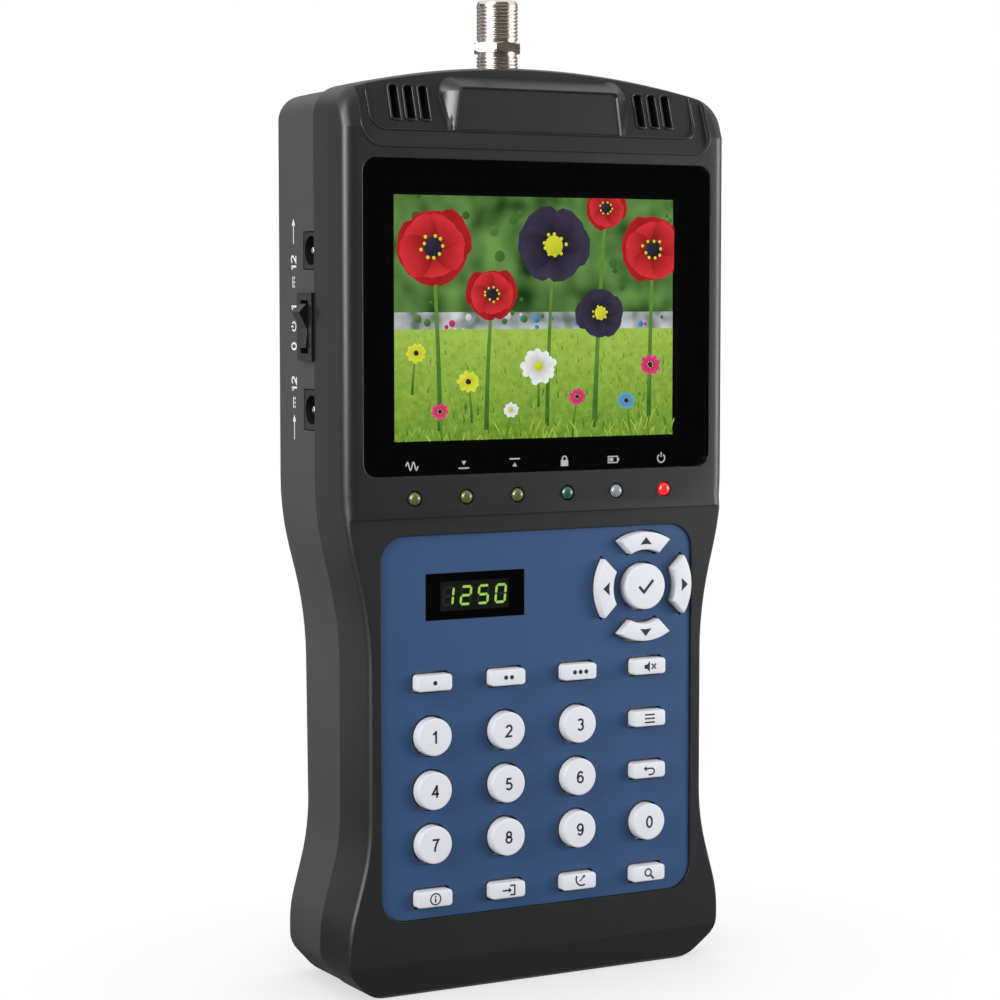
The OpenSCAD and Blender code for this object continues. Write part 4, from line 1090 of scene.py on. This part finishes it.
# %% Build and trim the picture
PICTURE_GAP = 0.03 * MM
LAYER = 0.001 * MM
build = bmesh.new()
uv = build.loops.layers.uv.new("fade")
for layer, (points, faces, paper, tones) in enumerate(collage):
    y = lcd_low.y - PICTURE_GAP - layer * LAYER
    corners = [build.verts.new((lcd_mid.x + u, y, lcd_mid.z + v)) for u, v in points]
    for face in faces:
        made = build.faces.new([corners[i] for i in face])
        made.material_index = paper
        for link, i in zip(made.loops, face):
            link[uv].uv = (tones[i], 0.5)
for sx, sz in ((1, 0), (-1, 0), (0, 1), (0, -1)):
    edge = Vector((lcd_mid.x + sx * PICTURE_W / 2, 0, lcd_mid.z + sz * PICTURE_H / 2))
    bmesh.ops.bisect_plane(
        build, geom=build.verts[:] + build.edges[:] + build.faces[:],
        plane_co=edge, plane_no=(sx, 0, sz), clear_outer=True,
    )
for face in build.faces:
    face.normal_update()
    if face.normal.y > 0:
        face.normal_flip()
picture_mesh = bpy.data.meshes.new("screen_picture")
build.to_mesh(picture_mesh)
build.free()
add_piece("screen_picture", picture_mesh, PAPERS.values(), "meter")
print("picture faces:", len(picture_mesh.polygons))

# %% [markdown]
# ## Printed legends
# Keys carry figures or small signs in dark ink. A font could give the figures, but drawn
# strokes keep one even line width for figures and signs alike. Each is drawn in a unit
# square: a loudspeaker, three bars, a return arrow, a lens, and the figures 0 to 9.

# %% Figures drawn with strokes
key_ink = moulded("key_ink", (0.012, 0.012, 0.015), 0.6, 3000, 0.002, edge_mm=0.01)
white_ink = moulded("white_ink", (0.62, 0.62, 0.63), 0.55, 3000, 0.002, edge_mm=0.01)
STROKE = 0.16
FIGURES = {
    "0": [loop(0, 0, 0.25, 0.435, STROKE)],
    "1": [
        ribbon([(0.06, -0.5), (0.06, 0.5)], STROKE),
        ribbon([(0.06, 0.43), (-0.06, 0.3), (-0.2, 0.22)], STROKE),
    ],
    "2": [ribbon(arc(0, 0.19, 0.245, 165, -35) + [(-0.25, -0.435), (0.27, -0.435)], STROKE)],
    "3": [
        ribbon(arc(0, 0.215, 0.22, 150, -80), STROKE),
        ribbon(arc(0, -0.19, 0.245, 80, -150), STROKE),
    ],
    "4": [
        ribbon([(0.13, -0.5), (0.13, 0.5)], STROKE),
        ribbon([(0.12, 0.42), (-0.25, -0.2), (0.3, -0.2)], STROKE),
    ],
    "5": [
        ribbon([(0.23, 0.435), (-0.15, 0.435), (-0.21, 0)], STROKE),
        ribbon(arc(0, -0.165, 0.255, 130, -150), STROKE),
    ],
    "6": [
        loop(0, -0.17, 0.245, 0.265, STROKE),
        ribbon(oval(0, 0, 0.25, 0.435, 40, 180, 12) + [(-0.245, -0.17)], STROKE),
    ],
    "7": [ribbon([(-0.26, 0.435), (0.26, 0.435), (0.1, 0.17), (-0.02, -0.15), (-0.07, -0.5)], STROKE)],
    "8": [loop(0, 0.225, 0.2, 0.21, STROKE), loop(0, -0.2, 0.245, 0.235, STROKE)],
}
FIGURES["9"] = turned_half(FIGURES["6"])
print("figures:", len(FIGURES))

# %% Signs for the other keys
LINE = 0.12


def dots(count):
    return [disc((i - (count - 1) / 2) * 0.5, 0, 0.17) for i in range(count)]


SIGNS = {
    "key_f1": dots(1),
    "key_f2": dots(2),
    "key_f3": dots(3),
    "key_mute": [
        polygon(
            [(-0.5, -0.16), (-0.28, -0.16), (-0.02, -0.42), (-0.02, 0.42), (-0.28, 0.16), (-0.5, 0.16)]
        ),
        ribbon([(0.16, -0.2), (0.54, 0.2)], LINE),
        ribbon([(0.16, 0.2), (0.29, 0.065)], LINE),
        ribbon([(0.41, -0.065), (0.54, -0.2)], LINE),
    ],
    "key_menu": [ribbon([(-0.45, z), (0.45, z)], LINE) for z in (-0.3, 0, 0.3)],
    "key_exit": [
        ribbon([(-0.3, 0.14)] + arc(0.18, -0.1, 0.24, 90, -90, 10) + [(-0.1, -0.34)], LINE),
        polygon([(-0.55, 0.14), (-0.28, -0.08), (-0.28, 0.36)]),
    ],
    "key_info": [
        loop(0, 0, 0.42, 0.42, 0.1),
        disc(0, 0.2, 0.07, 12),
        ribbon([(0, 0.06), (0, -0.25)], LINE),
    ],
    "key_input": [
        ribbon([(0.1, 0.36), (0.5, 0.36), (0.5, -0.36), (0.1, -0.36)], LINE),
        ribbon([(-0.55, 0), (-0.02, 0)], LINE),
        polygon([(0.26, 0), (-0.02, 0.2), (-0.02, -0.2)]),
    ],
    "key_dish": [
        ribbon(arc(0.16, 0.22, 0.52, 150, 300, 14), LINE),
        ribbon([(-0.02, 0.04), (0.26, 0.32)], 0.09),
        disc(0.34, 0.4, 0.1, 14),
    ],
    "key_search": [loop(-0.1, 0.08, 0.28, 0.28, LINE), ribbon([(0.15, -0.17), (0.42, -0.44)], 0.15)],
    "key_ok": [ribbon([(-0.42, 0.02), (-0.12, -0.3), (0.46, 0.34)], 0.15)],
}
print("signs:", len(SIGNS))

# %% Print the keys
INK_T = 0.04 * MM
INK_SINK = 0.01 * MM
FIGURE_SIZE = 2.75 * MM
SIGN_SIZE = 2.9 * MM
TICK_SIZE = 4.2 * MM
for name in keys:
    label = name.removeprefix("key_")
    if label.isdigit():
        shapes = scaled(FIGURES[label], FIGURE_SIZE)
    elif name in SIGNS:
        shapes = scaled(SIGNS[name], TICK_SIZE if name == "key_ok" else SIGN_SIZE)
    else:
        continue
    low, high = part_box(name)
    middle = (low + high) / 2
    face = front_place(middle.x, middle.z, low.y + INK_SINK)
    thin_solid("legend_" + name, shapes, face, INK_T, [key_ink], name)
print("printed keys:", len(FIGURES) + len(SIGNS))

# %% [markdown]
# ## Direction keys
# The four direction keys form a broken ring, so each has a hollow side. Triangles that fan
# out from one corner would fold over that hollow. We take each key's solid, lift off its
# two flat ends and close each with a single face, which Blender divides the right way.

# %% Close the direction keys
ARROWS = {"key_right": 0, "key_up": 90, "key_left": 180, "key_down": 270}


def with_flat_ends(name):
    build = bmesh.new()
    build.from_mesh(nodes[name].data)
    bmesh.ops.remove_doubles(build, verts=build.verts, dist=WELD)
    depths = [v.co.y for v in build.verts]
    for level in (min(depths), max(depths)):
        end = [f for f in build.faces if all(abs(v.co.y - level) < WELD for v in f.verts)]
        bmesh.ops.delete(build, geom=end, context="FACES")
        bmesh.ops.holes_fill(build, edges=[e for e in build.edges if e.is_boundary], sides=0)
    return finished(build, "ring_" + name)


for name in ARROWS:
    ring_key = add_piece("ring_" + name, with_flat_ends(name), [key_white], name)
    smooth(ring_key, KEY_CREASE)
    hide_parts(name)
print("direction keys:", len(ARROWS))

# %% [markdown]
# ## Direction arrows
# Each direction key has a small dark arrow head that points away from the centre key. One
# head turned about the ring's middle serves all four, so we only work out where the middle
# of the band lies.

# %% Arrow heads
low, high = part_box("key_ok")
nav_mid = (low + high) / 2
ARROW_REACH = 10.3 * MM
ARROW_LONG = 1.7 * MM
ARROW_WIDE = 3.0 * MM
ARROW_NOTCH = 0.15 * MM
for name, turn in ARROWS.items():
    way = Vector((math.cos(math.radians(turn)), math.sin(math.radians(turn))))
    side = Vector((-way.y, way.x)) * ARROW_WIDE / 2
    foot = way * (ARROW_REACH - ARROW_LONG / 2)
    head = [foot + way * ARROW_LONG, foot + side, foot + way * ARROW_NOTCH, foot - side]
    face = front_place(nav_mid.x, nav_mid.z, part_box(name)[0].y + INK_SINK)
    thin_solid("arrow_" + name, [(polygon([tuple(p) for p in head]), 0)], face, INK_T, [key_ink], name)
print("arrows:", len(ARROWS))

# %% [markdown]
# ## Signs under the screen
# The strip below the picture names the six lamps. Small white signs do that here: a wave,
# a low and a high step, a padlock, a cell and the usual power sign. They are printed on
# the back of the clear pane, in front of its black border. Their ink glows, a painted light in place of
# the lamplight that would fall on them through the pane.

# %% Lamp signs
LAMP_PITCH = 12.58 * MM
LAMP_SIGN = 2.6 * MM
LAMP_SIGN_Z = 115.3 * MM
# The white print glows: painted light that stands in for the lamplight on it.
sign_ink = glowing("sign_ink", (0.42, 0.42, 0.44), (0.54, 0.54, 0.56), 900)
wave = [(-0.55 + 1.1 * i / 24, 0.32 * math.sin(2 * math.pi * i / 12)) for i in range(25)]
power_sign = [ribbon(arc(0, -0.02, 0.36, 125, 415, 22), LINE), ribbon([(0, 0.08), (0, 0.5)], LINE)]
LAMP_SIGNS = [
    [ribbon(wave, LINE)],
    [ribbon([(-0.5, -0.3), (0.5, -0.3)], LINE), polygon([(-0.22, 0.3), (0.22, 0.3), (0, -0.05)])],
    [ribbon([(-0.5, 0.34), (0.5, 0.34)], LINE), polygon([(-0.22, -0.3), (0, 0.05), (0.22, -0.3)])],
    [
        polygon([(-0.36, -0.42), (0.36, -0.42), (0.36, 0.1), (-0.36, 0.1)]),
        ribbon([(-0.22, 0.1)] + arc(0, 0.2, 0.22, 180, 0, 12) + [(0.22, 0.1)], LINE),
    ],
    [
        ribbon([(-0.5, -0.26), (0.42, -0.26), (0.42, 0.26), (-0.5, 0.26)], 0.1, closed=True),
        polygon([(0.47, -0.12), (0.58, -0.12), (0.58, 0.12), (0.47, 0.12)]),
        polygon([(-0.38, -0.15), (-0.02, -0.15), (-0.02, 0.15), (-0.38, 0.15)]),
    ],
    power_sign,
]
pane_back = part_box("display_window")[1].y - BORDER_T
for i, shapes in enumerate(LAMP_SIGNS):
    x = (i - (len(LAMP_SIGNS) - 1) / 2) * LAMP_PITCH
    face = front_place(x, LAMP_SIGN_Z, pane_back)
    thin_solid("lamp_sign_%d" % (i + 1), scaled(shapes, LAMP_SIGN), face, LABEL_T, [sign_ink], "meter")
print("lamp signs:", len(LAMP_SIGNS))

# %% [markdown]
# ## The digit display
# Four seven-segment figures glow behind a smoked pane. Each figure leans a little, as
# such displays do. Every segment is there: the lit ones glow green, and the others glow a
# faint grey, a painted light that stands in for the light the unlit segments would reflect.
# That grey is what makes a segment display look real.

# %% Draw the segments
low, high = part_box("digit_window")
digits_mid = (low + high) / 2
DIGIT_W = 2.3 * MM
DIGIT_H = 3.8 * MM
DIGIT_PITCH = 4.3 * MM
SEGMENT = 0.55 * MM
SEGMENT_GAP = 0.07 * MM
DIGIT_LEAN = 0.1
SEGMENT_T = 0.02 * MM
READING = "1250"
LIT = {"0": "abcdef", "1": "bc", "2": "abged", "5": "afgcd"}


def digit_place(y):
    return front_place(digits_mid.x, digits_mid.z, y)


def segment(x0, z0, x1, z1):
    """A bar with pointed ends from one joint of the figure to the next."""
    start, end = Vector((x0, z0)), Vector((x1, z1))
    way = (end - start).normalized()
    side = Vector((-way.y, way.x)) * SEGMENT / 2
    start, end = start + way * SEGMENT_GAP, end - way * SEGMENT_GAP
    point = way * SEGMENT / 2
    upper = [start + point + side, end - point + side, end]
    lower = [end - point - side, start + point - side]
    return polygon([(p.x + p.y * DIGIT_LEAN, p.y) for p in [start] + upper + lower])


w, h = DIGIT_W / 2, DIGIT_H / 2
SEGMENTS = {
    "a": segment(-w, h, w, h), "b": segment(w, h, w, 0), "c": segment(w, 0, w, -h),
    "d": segment(-w, -h, w, -h), "e": segment(-w, 0, -w, -h), "f": segment(-w, h, -w, 0),
    "g": segment(-w, 0, w, 0),
}
segment_lit = glowing("segment_lit", (0.40, 0.72, 0.09), (0.56, 0.92, 0.17), 1500)
# Unlit segments glow faintly: painted light in place of the light they would reflect.
segment_dim_painted_glow = glowing("segment_dim_painted_glow", (0.020, 0.022, 0.020), (0.032, 0.034, 0.032), 1500)
shapes = []
for i, digit in enumerate(READING):
    shift = (i - (len(READING) - 1) / 2) * DIGIT_PITCH
    for label, bar in SEGMENTS.items():
        shapes.append((moved([bar], shift)[0], 0 if label in LIT[digit] else 1))
thin_solid(
    "digit_segments", shapes, digit_place(high.y - 2 * SEGMENT_T), SEGMENT_T,
    [segment_lit, segment_dim_painted_glow], "meter",
)
print("segments:", len(shapes))

# %% [markdown]
# ## The digit window
# The segments sit in a dark grey face, and a black border printed on the window hides what
# lies round it. The face glows a faint grey, a painted light in place of the light it would
# reflect. Face and border are two flat prints in one piece, behind a smoked pane, so
# the whole display shows as one level black field.

# %% Back the digits and cover them with a smoked pane
FACE_W = 16.8 * MM
FACE_H = 6.4 * MM
DIGIT_R = 0.3 * MM
SMOKE = (0.75, 0.8, 0.75, 1)
# The face glows faintly: painted light that stands in for the light it would reflect.
digit_grey_painted_glow = glowing("digit_grey_painted_glow", (0.0085, 0.0095, 0.0085), (0.0125, 0.0135, 0.0125), 1500)
digit_outline = rounded_rectangle(high.x - low.x, high.z - low.z, DIGIT_R, 4)
face_outline = rounded_rectangle(FACE_W, FACE_H, DIGIT_R, 4)
thin_solid(
    "digit_face", [(polygon(face_outline), 0), (frame_shape(digit_outline, face_outline), 1)],
    digit_place(high.y - SEGMENT_T), SEGMENT_T, [digit_grey_painted_glow, border_ink], "meter",
)
smoked = pane.copy()
smoked.name = "pane_smoked"
set_inputs(smoked.node_tree.nodes["Principled BSDF"], Base_Color=SMOKE)
digit_depth = high.y - low.y - 4 * SEGMENT_T
digit_pane = thin_solid(
    "digit_pane", [(polygon(digit_outline), 0)], digit_place(low.y + digit_depth), digit_depth,
    [smoked], "meter",
)
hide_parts("digit_window")
print("digit pane", round((high.x - low.x) / MM, 1), "mm wide")

# %% [markdown]
# ## The threaded socket
# The coaxial socket has a fine thread, 32 turns to the inch, broken by a hexagonal collar
# with a plain groove on either side. A thread is a helix: the radius at a height depends
# on how far round one has gone. We make that surface directly, one ring at a time.

# %% Radius of the socket
low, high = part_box("coax_barrel")
coax_mid = (low + high) / 2
THREAD_R = 4.6 * MM
THREAD_DEEP = 0.34 * MM
THREAD_CREST = 0.42
RUN_OUT = 0.3 * MM
PITCH = 0.794 * MM
THREAD_FOOT = 199.2 * MM
THREAD_END = high.z - 1.5 * MM
COLLAR_LOW = 205.5 * MM
COLLAR_HIGH = 207.7 * MM
GROOVE_DEEP = 0.28 * MM
GROOVES = [(COLLAR_LOW - 0.9 * MM, COLLAR_LOW), (COLLAR_HIGH, COLLAR_HIGH + 0.75 * MM)]
THREADED = [(THREAD_FOOT, GROOVES[0][0]), (GROOVES[1][1], THREAD_END)]
TIP_LONG = 1.4 * MM
TIP_DEEP = 0.8 * MM
TIP_ROUND = 0.97


def thread_radius(z, angle):
    """Radius of the socket at a height, for a bearing round its axis."""
    tip = max(0.0, z - (high.z - TIP_LONG)) / TIP_LONG
    depth = TIP_DEEP * (1 - math.sqrt(1 - TIP_ROUND * tip ** 2))
    for start, end in GROOVES:
        if start <= z <= end:
            depth = GROOVE_DEEP
    for start, end in THREADED:
        if start < z < end:
            turn = (z / PITCH - angle / (2 * math.pi)) % 1.0
            share = min(1, (z - start) / RUN_OUT, (end - z) / RUN_OUT)
            flank = max(0, 1 - abs(2 * turn - 1) - THREAD_CREST) / (1 - THREAD_CREST)
            depth = max(depth, THREAD_DEEP * share * flank)
    return THREAD_R - depth


print("threaded lengths, mm:", [round((end - start) / MM, 2) for start, end in THREADED])

# %% Cut the thread
BORE_R = 3.2 * MM
BORE_EASE = 0.15 * MM
BORE_FLOOR = 1 * MM
THREAD_CREASE = math.radians(50)
ROUND = 72
RINGS_PER_PITCH = 12


def add_ring(build, z, radius):
    """A ring of points about the socket's axis, with a radius for each bearing."""
    ring = []
    for i in range(ROUND):
        angle = 2 * math.pi * i / ROUND
        reach = radius(angle)
        x, y = coax_mid.x + reach * math.cos(angle), coax_mid.y + reach * math.sin(angle)
        ring.append(build.verts.new((x, y, z)))
    return ring


build = bmesh.new()
length = high.z - THREAD_FOOT
steps = int(length / PITCH * RINGS_PER_PITCH)
heights = [low.z] + [THREAD_FOOT + length * k / steps for k in range(steps + 1)]
rings = [add_ring(build, z, lambda a: thread_radius(z, a)) for z in heights]
bore = [(high.z, BORE_R + BORE_EASE), (high.z - BORE_EASE, BORE_R), (low.z + BORE_FLOOR, BORE_R)]
rings += [add_ring(build, z, lambda a: r) for z, r in bore]
skin(build, rings)
coax_thread = add_piece("coax_thread", finished(build, "coax_thread"), [nickel], "meter")
crease(coax_thread, THREAD_CREASE)
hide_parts("coax_barrel")
print("thread rings:", len(rings))

# %% [markdown]
# ## The collar
# The hexagon lets a spanner hold the socket. Its corners are turned off to a cone, which
# is why a real nut shows curved edges on its flats. We get that ring by ring: no point is
# wider than the flat of the hexagon, nor wider than the cone at its height.

# %% Turn the collar
COLLAR_FLATS = 10.2 * MM
COLLAR_CREASE = math.radians(14)
CONE_HIGH = 0.5 * MM
CONE_DEEP = 0.62 * MM
CONE_CURVE = 1.5
CONE_STEPS = 4
SIXTH = math.radians(60)
corner_r = COLLAR_FLATS / 2 / math.cos(SIXTH / 2)


def collar_radius(angle, ease):
    from_corner = abs((angle + SIXTH / 2) % SIXTH - SIXTH / 2)
    return min(COLLAR_FLATS / 2 / math.cos(SIXTH / 2 - from_corner), corner_r - ease)


levels = []
for i in range(CONE_STEPS + 1):
    share = i / CONE_STEPS
    levels.append((share * CONE_HIGH, CONE_DEEP * (1 - share) ** CONE_CURVE))
heights = [(COLLAR_LOW + up, ease) for up, ease in levels]
heights += [(COLLAR_HIGH - up, ease) for up, ease in reversed(levels)]
build = bmesh.new()
rings = [add_ring(build, z, lambda a: collar_radius(a, ease)) for z, ease in heights]
rings += [add_ring(build, z, lambda a: THREAD_R - GROOVE_DEEP) for z in (COLLAR_HIGH, COLLAR_LOW)]
skin(build, rings, closed=True)
coax_collar = add_piece("coax_collar", finished(build, "coax_collar"), [nickel], "meter")
crease(coax_collar, COLLAR_CREASE)
print("collar across flats:", round(COLLAR_FLATS / MM, 1), "mm")

# %% [markdown]
# ## Signs on the left side
# White signs on the side name the power outlet, the switch and the power inlet. Each is a
# short row that reads upwards beside its fitting: the sign for direct current, a voltage
# and an arrow, or the power sign between 0 and 1. They lie on the flat rear shell.

# %% Side signs
SIDE_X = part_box("rear_housing")[0].x
SIGN_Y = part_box("front_housing")[0].y + 27.5 * MM
SIDE_SIGN = 2.7 * MM
current = [ribbon([(-0.45, 0.15), (0.45, 0.15)], LINE)]
current += [ribbon([(u - 0.1, -0.15), (u + 0.1, -0.15)], LINE) for u in (-0.35, 0, 0.35)]
arrow_up = [ribbon([(-1.0, 0), (0.5, 0)], LINE), polygon([(0.45, 0.3), (1.0, 0), (0.45, -0.3)])]
SIDE_SIGNS = {
    "outlet_jack": moved(current, -2.5) + moved(FIGURES["1"], -1.3) + moved(FIGURES["2"], -0.65)
    + moved(arrow_up, 1.6),
    "switch_body": moved(FIGURES["0"], -1.6) + power_sign + moved(FIGURES["1"], 1.55),
    "inlet_jack": moved(arrow_up, -1.5) + moved(current, 0.5) + moved(FIGURES["1"], 1.65)
    + moved(FIGURES["2"], 2.3),
}
for name, shapes in SIDE_SIGNS.items():
    low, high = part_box(name)
    face = left_place(SIDE_X + INK_SINK, SIGN_Y, (low.z + high.z) / 2)
    thin_solid("sign_" + name, scaled(shapes, SIDE_SIGN), face, INK_T, [white_ink], "meter")
print("side signs:", len(SIDE_SIGNS))

# %% [markdown]
# ## Screw heads
# Six screws hold the shells together from the back. Each has a round head with a cross
# recess. The recess is a plus-shaped floor below a ring of faces that leads out to the
# rim, which is enough, because each head lies deep in its counterbore.

# %% Make the screws
low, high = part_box("housing_screws")
SCREW_PLACES = [(side * x, z) for side in (-1, 1) for x, z in ((38.5, 10), (40, 106), (40, 187.5))]
HEAD_R = 2.8 * MM
HEAD_RIM = 0.86
HEAD_H = 2.2 * MM
HEAD_EDGE = 0.77 * MM
SHANK_R = 1.45 * MM
CROSS = 0.55 * MM
CROSS_REACH = 1.7 * MM
CROSS_DEEP = 1.1 * MM


def screw_mesh(name):
    """A screw along +Y with its head's top at y = 0: head, cross recess and shank."""
    build = bmesh.new()
    a, b = CROSS / 2, CROSS_REACH
    plus = [(a, a), (a, b), (-a, b), (-a, a), (-b, a), (-b, -a)]
    plus += [(-u, -v) for u, v in plus]
    turns = [math.atan2(v, u) for u, v in plus]
    rings = [[build.verts.new((u, y, v)) for u, v in plus] for y in (-CROSS_DEEP, 0)]
    profile = [
        (HEAD_R * HEAD_RIM, 0), (HEAD_R, -HEAD_EDGE), (HEAD_R, -HEAD_H), (SHANK_R, -HEAD_H),
        (SHANK_R, low.y - high.y),
    ]
    for r, y in profile:
        rings.append([build.verts.new((r * math.cos(t), y, r * math.sin(t))) for t in turns])
    skin(build, rings, rounded=False)
    return finished(build, name)


for i, (x, z) in enumerate(SCREW_PLACES):
    mesh = screw_mesh("housing_screw_%d" % (i + 1))
    mesh.transform(Matrix.Translation(Vector((x * MM, high.y, z * MM))))
    screw = add_piece(mesh.name, mesh, [zinc], "meter")
    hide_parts("housing_screws")
print("screws:", len(SCREW_PLACES))
